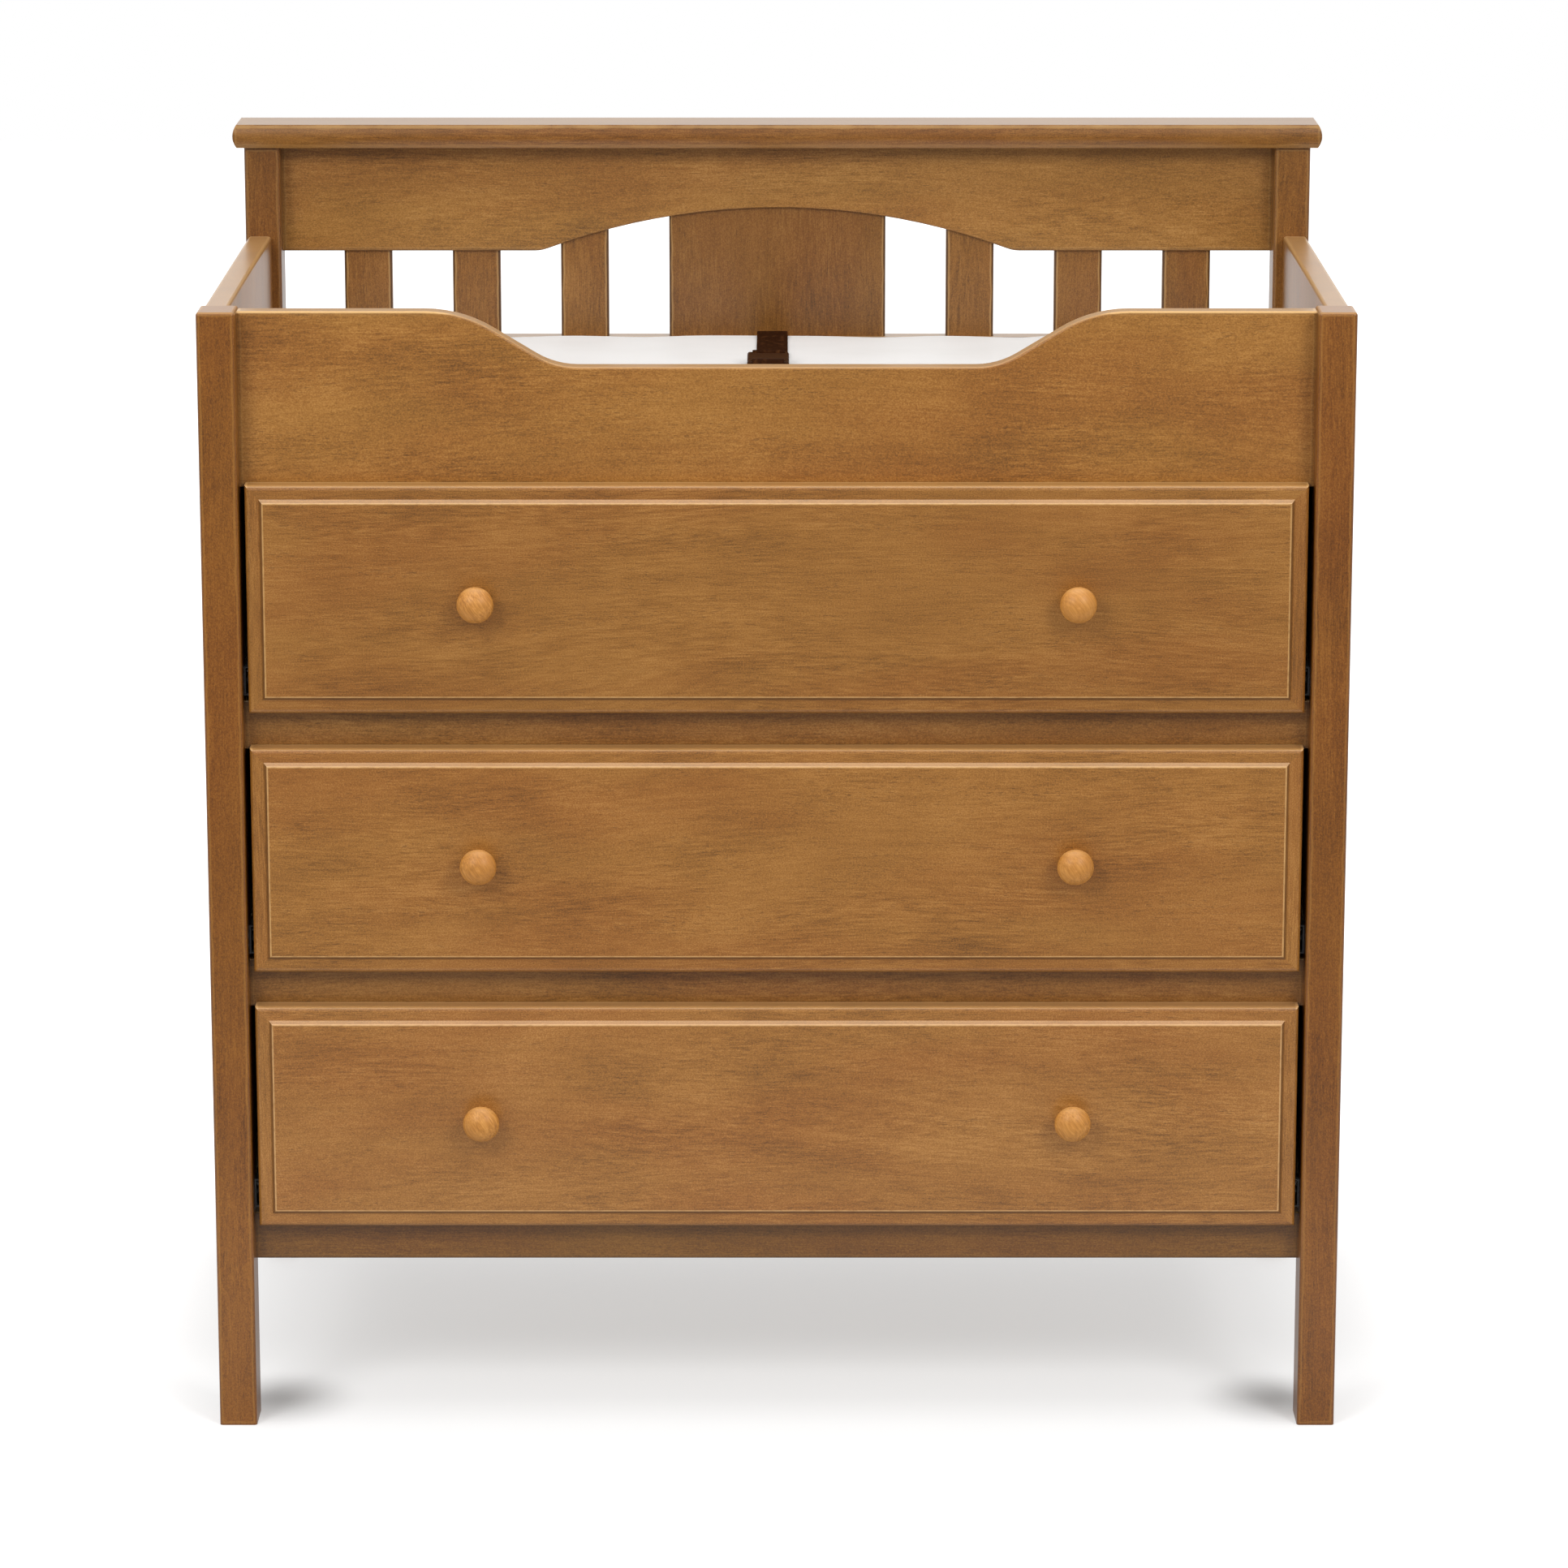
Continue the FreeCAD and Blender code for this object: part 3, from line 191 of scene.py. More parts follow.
    def surface(self, inputs: dict[str, object], height: Socket, relief: float,
                depth: float) -> None:
        """Principled shader with a relief, joined to the material's output.

        Args:
            inputs: the shader's inputs by name.
            height: the relief, in its own units.
            relief: how strongly it shows.
            depth: metres for each of its units.
        """
        bump = self.add("Bump", {"Strength": relief, "Distance": depth, "Height": height})
        shader = self.add("BsdfPrincipled", {**inputs, "Normal": bump.outputs[0]})
        self.add("OutputMaterial", {"Surface": shader.outputs[0]})


def new_material(name: str) -> tuple[bpy.types.Material, Wiring]:
    """Make a material with an empty tree.

    Args:
        name: the material's name.

    Returns:
        The material and the wiring of its tree.
    """
    made = bpy.data.materials.new(name)
    made.use_nodes = True
    made.node_tree.nodes.clear()
    return made, Wiring(made.node_tree)


def new_group(name: str, inputs: dict[str, tuple[str, object]],
              outputs: dict[str, str]) -> tuple[bpy.types.NodeTree, Wiring, dict, dict]:
    """Make an empty shader group with named sockets.

    Args:
        name: the group's name.
        inputs: kind ("Float", "Vector" or "Color") and default value of each input.
        outputs: kind of each output.

    Returns:
        The tree, its wiring, and the inner sockets of its inputs and outputs by name.
    """
    tree = bpy.data.node_groups.new(name, "ShaderNodeTree")
    for label, (kind, default) in inputs.items():
        socket = tree.interface.new_socket(label, in_out="INPUT", socket_type="NodeSocket" + kind)
        if default is not None:
            socket.default_value = (*default, 1.0) if kind == "Color" else default
    for label, kind in outputs.items():
        tree.interface.new_socket(label, in_out="OUTPUT", socket_type="NodeSocket" + kind)
    wiring = Wiring(tree)
    entry = wiring.add("!NodeGroupInput")
    leave = wiring.add("!NodeGroupOutput")
    return (tree, wiring, {label: entry.outputs[label] for label in inputs},
            {label: leave.inputs[label] for label in outputs})


@dataclass(frozen=True)
class GrainSizes:
    """Sizes of the parts of a wood's grain. The triples are waves per metre, along the grain
    and twice across it, and a span gives where a mask starts and where it is full."""

    bend: Triple = (2.2, 9.0, 9.0)
    bend_reach: float = 0.035      # metres that the bend moves the grain sideways
    rings: Triple = (0.9, 5.0, 5.0)
    ring_rise: float = 2.6         # steady part of the ring coordinate, for each metre across
    lines: Triple = (7.0, 130.0, 30.0)     # along the grain, for each ring unit, and across
    line_share: float = 0.27
    growths: float = 7.0           # growth rings for each ring unit
    growth_end: Span = (0.9, 1.0)
    growth_mean: float = 0.42
    growth_share: float = -0.10
    gather: Triple = (5.0, 17.0, 17.0)
    gather_span: Span = (0.36, 0.64)
    streaks: Triple = (50.0, 800.0, 800.0)
    streak_gain: Span = (0.9, 0.55)        # with the gathering, and without it
    streak_share: float = 0.52
    grit: Triple = (900.0, 1300.0, 1300.0)
    grit_share: float = 0.85
    mottle: Triple = (10.0, 17.0, 17.0)
    mottle_share: float = 0.50
    hue: Triple = (4.0, 14.0, 14.0)
    hue_span: Span = (0.38, 0.66)
    cluster: Triple = (12.0, 70.0, 70.0)
    cluster_span: Span = (0.40, 0.68)
    cluster_floor: float = 0.1     # pores that are left between the clusters
    pores: Triple = (150.0, 1700.0, 1700.0)
    pore_span: Span = (0.59, 0.67)
    pore_stain: float = 0.5


class Effects:
    """Shared surface effects, each a node group that is built once."""

    def __init__(self) -> None:
        """Build every group."""
        self.grain = self.make_grain(GrainSizes())
        self.field = self.make_field()
        self.rub = self.make_rub()
        self.speckle = self.make_speckle()
        self.weave = self.make_weave()

    @staticmethod
    def make_grain(size: GrainSizes) -> bpy.types.NodeTree:
        """Stained wood whose grain runs along the coordinates' X.

        Slow noise bends the coordinates across the grain, and the ring coordinate is a
        stretched noise plus a steady rise, so its contours make cathedrals. Lines are a noise
        that runs along those contours, growth is the sawtooth of the ring coordinate, which
        darkens slowly and ends at once, streaks and grit are fine noises, and mottle is
        blotchy stain. Their sum picks a tone between dark, middle and light, a slow noise
        turns the hue, and pores are short flecks where a second noise lets them gather. The
        input Pores drives the grit too.

        Args:
            size: waves, spans and shares of the grain's parts.

        Returns:
            The group: colour, roughness change and height.
        """
        tree, w, i, o = new_group(
            "Wood grain",
            {"Vector": ("Vector", None), "Light": ("Color", (0.5, 0.25, 0.1)),
             "Middle": ("Color", (0.35, 0.16, 0.05)), "Dark": ("Color", (0.2, 0.08, 0.03)),
             "Warm": ("Color", (0.4, 0.15, 0.04)), "Figure": ("Float", 1.0),
             "Streaks": ("Float", 1.0), "Pores": ("Float", 1.0), "Mottle": ("Float", 1.0)},
            {"Color": "Color", "Roughness": "Float", "Height": "Float"})
        here = i["Vector"]
        bend = w.vector("SUBTRACT", w.noise(here, size.bend, colour=True), (0.5,) * 3)
        where = w.vector("MULTIPLY_ADD", bend, (0.0, size.bend_reach, size.bend_reach), here)
        along, over, up = w.channels(where)
        rise = w.calc("MULTIPLY", w.calc("ADD", over, up), size.ring_rise)
        rings = w.calc("ADD", w.noise(where, size.rings, 1.0), rise)
        lines = w.swing(w.join(along, rings, over), size.lines, 3.0, 0.6)
        growth = w.calc("FRACT", w.calc("MULTIPLY", rings, size.growths))
        growth = w.calc("MULTIPLY", growth, w.ramp(growth, *size.growth_end, 1.0, 0.0))
        gather = w.ramp(w.noise(here, size.gather), *size.gather_span)
        growth = w.calc("MULTIPLY", w.calc("SUBTRACT", growth, size.growth_mean), gather)
        streaks = w.swing(where, size.streaks, 1.5, 0.6)
        streaks = w.calc("MULTIPLY", streaks, w.calc("MULTIPLY_ADD", gather, *size.streak_gain))
        grit = w.swing(here, size.grit, 1.0)
        mottle = w.swing(here, size.mottle, 2.5)
        tone = 0.5
        for part, amount, share in ((growth, "Figure", size.growth_share),
                                    (lines, "Figure", size.line_share),
                                    (streaks, "Streaks", size.streak_share),
                                    (grit, "Pores", size.grit_share),
                                    (mottle, "Mottle", size.mottle_share)):
            tone = w.calc("MULTIPLY_ADD", part, w.calc("MULTIPLY", i[amount], share), tone)
        hue = w.ramp(w.noise(here, size.hue, 3.0), *size.hue_span)
        middle = w.mix(w.calc("MULTIPLY", hue, i["Mottle"], clamp=True), i["Middle"], i["Warm"])
        lower = w.mix(w.calc("MULTIPLY", tone, 2.0, clamp=True), i["Dark"], middle)
        colour = w.mix(w.calc("MULTIPLY_ADD", tone, 2.0, -1.0, clamp=True), lower, i["Light"])
        cluster = w.ramp(w.noise(where, size.cluster, 3.0), *size.cluster_span,
                         size.cluster_floor, 1.0)
        pores = w.ramp(w.noise(where, size.pores, 1.0), *size.pore_span)
        pores = w.calc("MULTIPLY", w.calc("MULTIPLY", pores, cluster), i["Pores"], clamp=True)
        w.feed(o["Color"], w.mix(w.calc("MULTIPLY", pores, size.pore_stain), colour, i["Dark"]))
        w.feed(o["Roughness"],
               w.calc("MULTIPLY_ADD", streaks, 0.25, w.calc("MULTIPLY", pores, 0.1)))
        w.feed(o["Height"], w.calc("SUBTRACT", w.calc("MULTIPLY", streaks, 0.5), pores))
        return tree

    @staticmethod
    def make_field() -> bpy.types.NodeTree:
        """Masks of a raised field on a board's front.

        The signed distance from the field's rectangle is the larger of the distances past its
        sides and past its top or bottom. The arris is where that is near nought, the groove
        just outside it, and the ends are where the side distance is the larger, so they meet
        the rest in mitres. All three stop a little behind the board's front.

        Returns:
            The group: the masks of arris, groove and ends.
        """
        tree, w, i, o = new_group(
            "Raised field", {"Vector": ("Vector", None), "Low": ("Vector", None),
                             "High": ("Vector", None), "Line": ("Float", 0.0006),
                             "Groove": ("Float", 0.003)},
            {"Arris": "Float", "Groove": "Float", "Ends": "Float"})
        past = w.vector("MAXIMUM", w.vector("SUBTRACT", i["Low"], i["Vector"]),
                        w.vector("SUBTRACT", i["Vector"], i["High"]))
        side, back, end = w.channels(past)
        front = w.calc("LESS_THAN", back, 0.0)
        reach = w.calc("MAXIMUM", side, end)
        wander = w.noise(i["Vector"], (160.0, 160.0, 160.0), 2.0)
        line = w.calc("DIVIDE", w.calc("ABSOLUTE", reach), w.calc("ADD", i["Line"], 1e-5))
        line = w.ramp(line, 0.6, 1.4, 1.0, 0.0)
        line = w.calc("MULTIPLY", line, w.ramp(wander, 0.25, 0.6, 0.55, 1.0))
        w.feed(o["Arris"], w.calc("MULTIPLY", line, front))
        groove_band = w.calc("DIVIDE", reach, i["Groove"])
        groove_band = w.calc("MULTIPLY", w.ramp(groove_band, 0.1, 0.35), w.ramp(groove_band, 0.5, 1.1, 1.0, 0.0))
        w.feed(o["Groove"], w.calc("MULTIPLY", groove_band, front))
        outside = w.calc("MULTIPLY", w.calc("GREATER_THAN", reach, 0.0), front)
        w.feed(o["Ends"], w.calc("MULTIPLY", w.calc("GREATER_THAN", side, end), outside))
        return tree

    @staticmethod
    def make_rub() -> bpy.types.NodeTree:
        """Masks of a board's edges and faces, for sanding wear and painted light and shade.

        A point's distances to the three nearer faces of the board's box are sorted, and the
        middle one is its distance to the nearest edge. The line lies where a rounded edge
        starts and marks a painted highlight with some sanding wear, the edge is what is outside
        it and takes painted shade, and up is how far the surface looks upwards, for wear and
        painted light on upward edges. Top is a level face, for painted light.

        Returns:
            The group: the masks of line, edge, upward and level faces.
        """
        tree, w, i, o = new_group(
            "Edge rub", {"Vector": ("Vector", None), "Low": ("Vector", None),
                         "High": ("Vector", None), "Width": ("Float", 0.002)},
            {"Line": "Float", "Edge": "Float", "Up": "Float", "Top": "Float"})
        nearer = w.vector("MINIMUM", w.vector("SUBTRACT", i["Vector"], i["Low"]),
                          w.vector("SUBTRACT", i["High"], i["Vector"]))
        x, y, z = w.channels(nearer)
        edge = w.calc("MAXIMUM", w.calc("MINIMUM", x, y),
                      w.calc("MINIMUM", w.calc("MAXIMUM", x, y), z))
        wander = w.noise(i["Vector"], (45.0, 45.0, 45.0), detail=3.0)
        part = w.calc("DIVIDE", edge, w.calc("MULTIPLY", i["Width"], w.calc("ADD", wander, 0.5)))
        line = w.calc("MULTIPLY", w.ramp(part, 0.5, 0.85), w.ramp(part, 1.0, 1.35, 1.0, 0.0))
        w.feed(o["Line"], line)
        w.feed(o["Edge"], w.ramp(part, 0.5, 1.1, 1.0, 0.0))
        _, _, tilt = w.channels(w.add("NewGeometry").outputs["Normal"])
        w.feed(o["Up"], w.ramp(tilt, 0.12, 0.6))
        w.feed(o["Top"], w.ramp(tilt, 0.5, 0.8))
        return tree

    @staticmethod
    def make_speckle() -> bpy.types.NodeTree:
        """Fine moulded or sprayed surface with faint smears and scratches.

        Returns:
            The group: a brightness factor, a roughness change and a height.
        """
        tree, w, i, o = new_group(
            "Speckle", {"Vector": ("Vector", None), "Fineness": ("Float", 900.0),
                        "Smears": ("Float", 1.0), "Scratches": ("Float", 1.0)},
            {"Shade": "Float", "Roughness": "Float", "Height": "Float"})
        fine = w.add("TexNoise", {"Vector": i["Vector"], "Scale": i["Fineness"],
                                  "Detail": 2.0}).outputs["Fac"]
        smears = w.swing(i["Vector"], (14.0, 14.0, 14.0), detail=3.0)
        smears = w.calc("MULTIPLY", smears, i["Smears"])
        scratches = w.ramp(w.noise(i["Vector"], (700.0, 9.0, 700.0), detail=1.0), 0.66, 0.74)
        scratches = w.calc("MULTIPLY", scratches, i["Scratches"])
        shade = w.calc("MULTIPLY_ADD", smears, 0.22, w.calc("MULTIPLY_ADD", fine, 0.1, 0.95))
        w.feed(o["Shade"], w.calc("MULTIPLY_ADD", scratches, 0.18, shade))
        w.feed(o["Roughness"],
               w.calc("MULTIPLY_ADD", smears, 0.3, w.calc("MULTIPLY", scratches, 0.1)))
        w.feed(o["Height"], w.calc("SUBTRACT", fine, w.calc("MULTIPLY", scratches, 0.5)))
        return tree

    @staticmethod
    def make_weave() -> bpy.types.NodeTree:
        """Woven webbing on a UV map in metres, U along the strap and V across it.

        Ribs are the sine of a sum of U and a zigzag of V, so they make the chevrons of a
        herringbone, and threads are a finer sine across them.

        Returns:
            The group: thread shade from 0 to 1, and a height.
        """
        tree, w, i, o = new_group(
            "Weave", {"Vector": ("Vector", None), "Pitch": ("Float", 0.0012)},
            {"Shade": "Float", "Height": "Float"})
        along, across, _ = w.channels(i["Vector"])
        zigzag = w.calc("PINGPONG", across, w.calc("MULTIPLY", i["Pitch"], 3.5))
        turns = w.calc("DIVIDE", 2.0 * math.pi, i["Pitch"])
        ribs = w.calc("SINE", w.calc("MULTIPLY", w.calc("ADD", along, zigzag), turns))
        threads = w.calc("SINE", w.calc("MULTIPLY", w.calc("SUBTRACT", along, zigzag),
                                        w.calc("MULTIPLY", turns, 2.5)))
        height = w.calc("MULTIPLY_ADD", threads, 0.25, w.calc("MULTIPLY", ribs, 0.5))
        w.feed(o["Height"], height)
        w.feed(o["Shade"], w.calc("ADD", height, 0.5, clamp=True))
        return tree


# ------------------------------------------------------------------ finishes
class Grain(Enum):
    """Way of a board's grain, as the Euler turn that brings it onto the texture's X axis."""

    ALONG_X = (0.0, 0.0, 0.0)
    ALONG_Y = (0.0, 0.0, -math.pi / 2)
    ALONG_Z = (0.0, math.pi / 2, 0.0)
    ACROSS_KNOB = (0.0, -0.98, 0.0)


@dataclass(frozen=True)
class WoodFinish:
    """One kind of wood with its stain and lacquer."""

    name: str
    light: Colour
    middle: Colour
    dark: Colour
    warm: Colour
    # lighter colour of sanding wear, painted highlights and painted light on level faces
    rub: Colour
    figure: float = 1.0
    streaks: float = 1.0
    pores: float = 1.0
    mottle: float = 1.0
    roughness: float = 0.48
    coat: float = 1.0
    coat_roughness: float = 0.3
    bump: float = 0.3
    bump_depth: float = 0.0002
    specular: float = 0.08
    coat_ior: float = 1.5
    # width of the edge masks for wear, painted highlights and painted shade
    rub_width: float = 0.0026
    level_face_painted_light: float = 0.42         # painted light: how much lighter colour a level face takes
    field_inset: float = 0.0135    # from the board's edge to the raised field's
    field_depth: float = 0.006     # how far back the field's masks reach
    groove_stain_and_shade: float = 0.65     # dark stain and painted shade in the groove round the field, where it doesn't face up
    # painted light on the groove where it faces up
    groove_painted_light: float = 0.10
    # sanding wear and painted highlight on the field's arris
    arris_wear_and_highlight: float = 0.75

    def material(self, effects: Effects, grain: Grain, seed: int, low: Vector, high: Vector,
                 tint: Colour = (1.0, 1.0, 1.0), rub: Triple = (0.15, 0.1, 0.3),
                 raised: bool = False, row: Triple | None = None) -> bpy.types.Material:
        """Material of one board.

        Args:
            effects: the shared node groups.
            grain: which way the grain runs.
            seed: number that picks the board's place in the grain.
            low: lowest corner of the board's box.
            high: highest corner of the board's box.
            tint: scale of this board's colours in each channel, in part painted shade on recessed
                rails.
            rub: strengths of the light line inside its edges, a painted highlight
            with some sanding wear, of the dark edges themselves, painted shade, and of the wear
            and painted light on edges that look upwards.
            raised: whether the board's front has a raised field.
            row: where a row of equal boards starts, on both sides of the middle, its pitch
                and the boards' width.

        Returns:
            The new material.
        """
        made, w = new_material(f"{self.name}_{seed:02d}")
        here = w.add("TexCoord").outputs["Object"]
        shift = tuple(GRAIN_ROOM * ((seed * GOLDEN_SHARE * k) % 1.0) for k in (1.0, 1.7, 2.3))
        turned = w.add("Mapping", {"Vector": here, "Rotation": grain.value,
                                   "Location": shift}).outputs[0]
        panel = None
        if raised:
            inset = self.field_inset
            panel = w.group(effects.field, Vector=here,
                            Low=Vector((low.x + inset, low.y - MILLIMETRE, low.z + inset)),
                            High=Vector((high.x - inset, low.y + self.field_depth,
                                         high.z - inset)))
            across = w.add("Mapping", {"Vector": here, "Rotation": Grain.ALONG_Z.value,
                                       "Location": shift}).outputs[0]
            turned = w.mix(panel["Ends"], turned, across)
        tone = lambda colour: tuple(t * c for t, c in zip(tint, colour))
        wood = w.group(effects.grain, Vector=turned, Light=tone(self.light),
                       Middle=tone(self.middle), Dark=tone(self.dark), Warm=tone(self.warm),
                       Figure=self.figure, Streaks=self.streaks, Pores=self.pores,
                       Mottle=self.mottle)
        if row:
            start, pitch, width = row
            x, y, z = w.channels(here)
            here = w.join(w.calc("WRAP", w.calc("ABSOLUTE", x), start + pitch, start), y, z)
            low = Vector((start, low.y, low.z))
            high = Vector((start + width, high.y, high.z))
        # masks of sanding wear and of painted highlights, shade and light on the board's edges
        marks = w.group(effects.rub, Vector=here, Low=low, High=high, Width=self.rub_width)
        line, edge, upper = rub
        # the edges darkened as painted shade
        colour = w.mix(w.calc("MULTIPLY", marks["Edge"], edge), wood["Color"], tone(self.dark))
        # lighter colour: wear and painted light on upward edges, a painted highlight inside the
        # edges
        share = w.product(marks["Edge"], marks["Up"], upper)
        share = w.calc("MULTIPLY_ADD", marks["Line"], line, share, clamp=True)
        # level faces lighter, as painted light
        share = w.calc("MULTIPLY_ADD", marks["Top"], self.level_face_painted_light, share, clamp=True)
        if panel:
            # groove darkened by stain and painted shade where it faces sideways or down,
            # lightened as painted light where it faces up
            groove_band = w.calc("MULTIPLY", panel["Groove"], w.calc("SUBTRACT", 1.0, marks["Up"]))
            colour = w.mix(w.calc("MULTIPLY", groove_band, self.groove_stain_and_shade), colour,
                           tone(self.dark))
            lit = w.product(panel["Groove"], marks["Up"], self.groove_painted_light)
            share = w.calc("MAXIMUM", share, lit)
            # the arris lightened by wear and a painted highlight
            share = w.calc("MULTIPLY_ADD", panel["Arris"], self.arris_wear_and_highlight, share, clamp=True)
        colour = w.mix(share, colour, tone(self.rub))
        rough = w.calc("ADD", wood["Roughness"], self.roughness, clamp=True)
        w.surface({"Base Color": colour, "Roughness": rough,
                   "Specular IOR Level": self.specular, "Coat Weight": self.coat,
                   "Coat Roughness": self.coat_roughness, "Coat IOR": self.coat_ior},
                  wood["Height"], self.bump, self.bump_depth)
        return made


@dataclass(frozen=True)
class HardFinish:
    """Metal or plastic with a moulded or sprayed surface."""

    name: str
    colour: Colour
    roughness: float
    metallic: float = 0.0
    specular: float = 0.5
    coat: float = 0.0
    fineness: float = 900.0
    smears: float = 1.0
    scratches: float = 1.0
    bump: float = 0.15
    bump_depth: float = 0.0001
    coat_roughness: float = 0.2

    def material(self, effects: Effects) -> bpy.types.Material:
        """Material of every piece with this finish.

        Args:
            effects: the shared node groups.

        Returns:
            The new material.
        """
        made, w = new_material(self.name)
        here = w.add("TexCoord").outputs["Object"]
        surface = w.group(effects.speckle, Vector=here, Fineness=self.fineness,
                          Smears=self.smears, Scratches=self.scratches)
        colour = w.mix(1.0, self.colour, surface["Shade"], blend="MULTIPLY")
        rough = w.calc("ADD", surface["Roughness"], self.roughness, clamp=True)
        w.surface({"Base Color": colour, "Roughness": rough, "Metallic": self.metallic,
                   "Specular IOR Level": self.specular, "Coat Weight": self.coat,
                   "Coat Roughness": self.coat_roughness},
                  surface["Height"], self.bump, self.bump_depth)
        return made


STAINED = WoodFinish("stained_wood", light=(0.50, 0.25, 0.068), middle=(0.312, 0.134, 0.025),
                     dark=(0.090, 0.036, 0.008), warm=(0.294, 0.114, 0.020),
                     rub=(0.62, 0.37, 0.15))
KNOB_WOOD = WoodFinish("knob_wood", light=(0.78, 0.38, 0.09), middle=(0.53, 0.22, 0.035),
                       dark=(0.26, 0.09, 0.010), warm=(0.49, 0.19, 0.028),
                       rub=(0.66, 0.35, 0.12), figure=1.9, streaks=1.5, mottle=0.3, pores=0.15,
                       roughness=0.5, coat=0.85, coat_roughness=0.46)
BOX_WOOD = WoodFinish("box_wood", light=(0.76, 0.60, 0.40), middle=(0.66, 0.49, 0.30),
                      dark=(0.44, 0.29, 0.15), warm=(0.64, 0.45, 0.27), rub=(0.76, 0.62, 0.42),
                      figure=1.2, mottle=0.6, pores=0.6, roughness=0.6, coat=0.0)
BOTTOM_BOARD = WoodFinish("bottom_board", light=(0.68, 0.52, 0.34), middle=(0.58, 0.42, 0.26),
                          dark=(0.38, 0.25, 0.14), warm=(0.56, 0.39, 0.235),
                          rub=(0.7, 0.54, 0.36), mottle=0.6, roughness=0.55, coat=0.0)
TRAY_BOARD = WoodFinish("tray_board", light=(0.54, 0.29, 0.11), middle=(0.40, 0.195, 0.066),
                        dark=(0.2, 0.09, 0.03), warm=(0.38, 0.17, 0.055),
                        rub=(0.5, 0.3, 0.14), roughness=0.5, coat=0.1)
BACK_BOARD = WoodFinish("back_board", light=(0.46, 0.25, 0.10), middle=(0.36, 0.18, 0.066),
                        dark=(0.22, 0.10, 0.035), warm=(0.34, 0.16, 0.055),
                        rub=(0.46, 0.28, 0.14), figure=0.4, streaks=0.6, roughness=0.55,
                        coat=0.0)
SLIDE_STEEL = HardFinish("slide_steel", (0.115, 0.115, 0.12), 0.45, coat=0.2)
ZINC_STEEL = HardFinish("zinc_steel", (0.60, 0.60, 0.62), 0.32, metallic=1.0, fineness=600.0)
ROLLER_PLASTIC = HardFinish("roller_plastic", (0.78, 0.78, 0.75), 0.5, scratches=0.4)
BUCKLE_PLASTIC = HardFinish("buckle_plastic", (0.034, 0.011, 0.003), 0.42, specular=0.06,
                            fineness=1400.0, scratches=0.6, bump=0.3)
BELT_THREAD = HardFinish("belt_thread", (0.06, 0.022, 0.008), 0.65, specular=0.03, scratches=0.0)


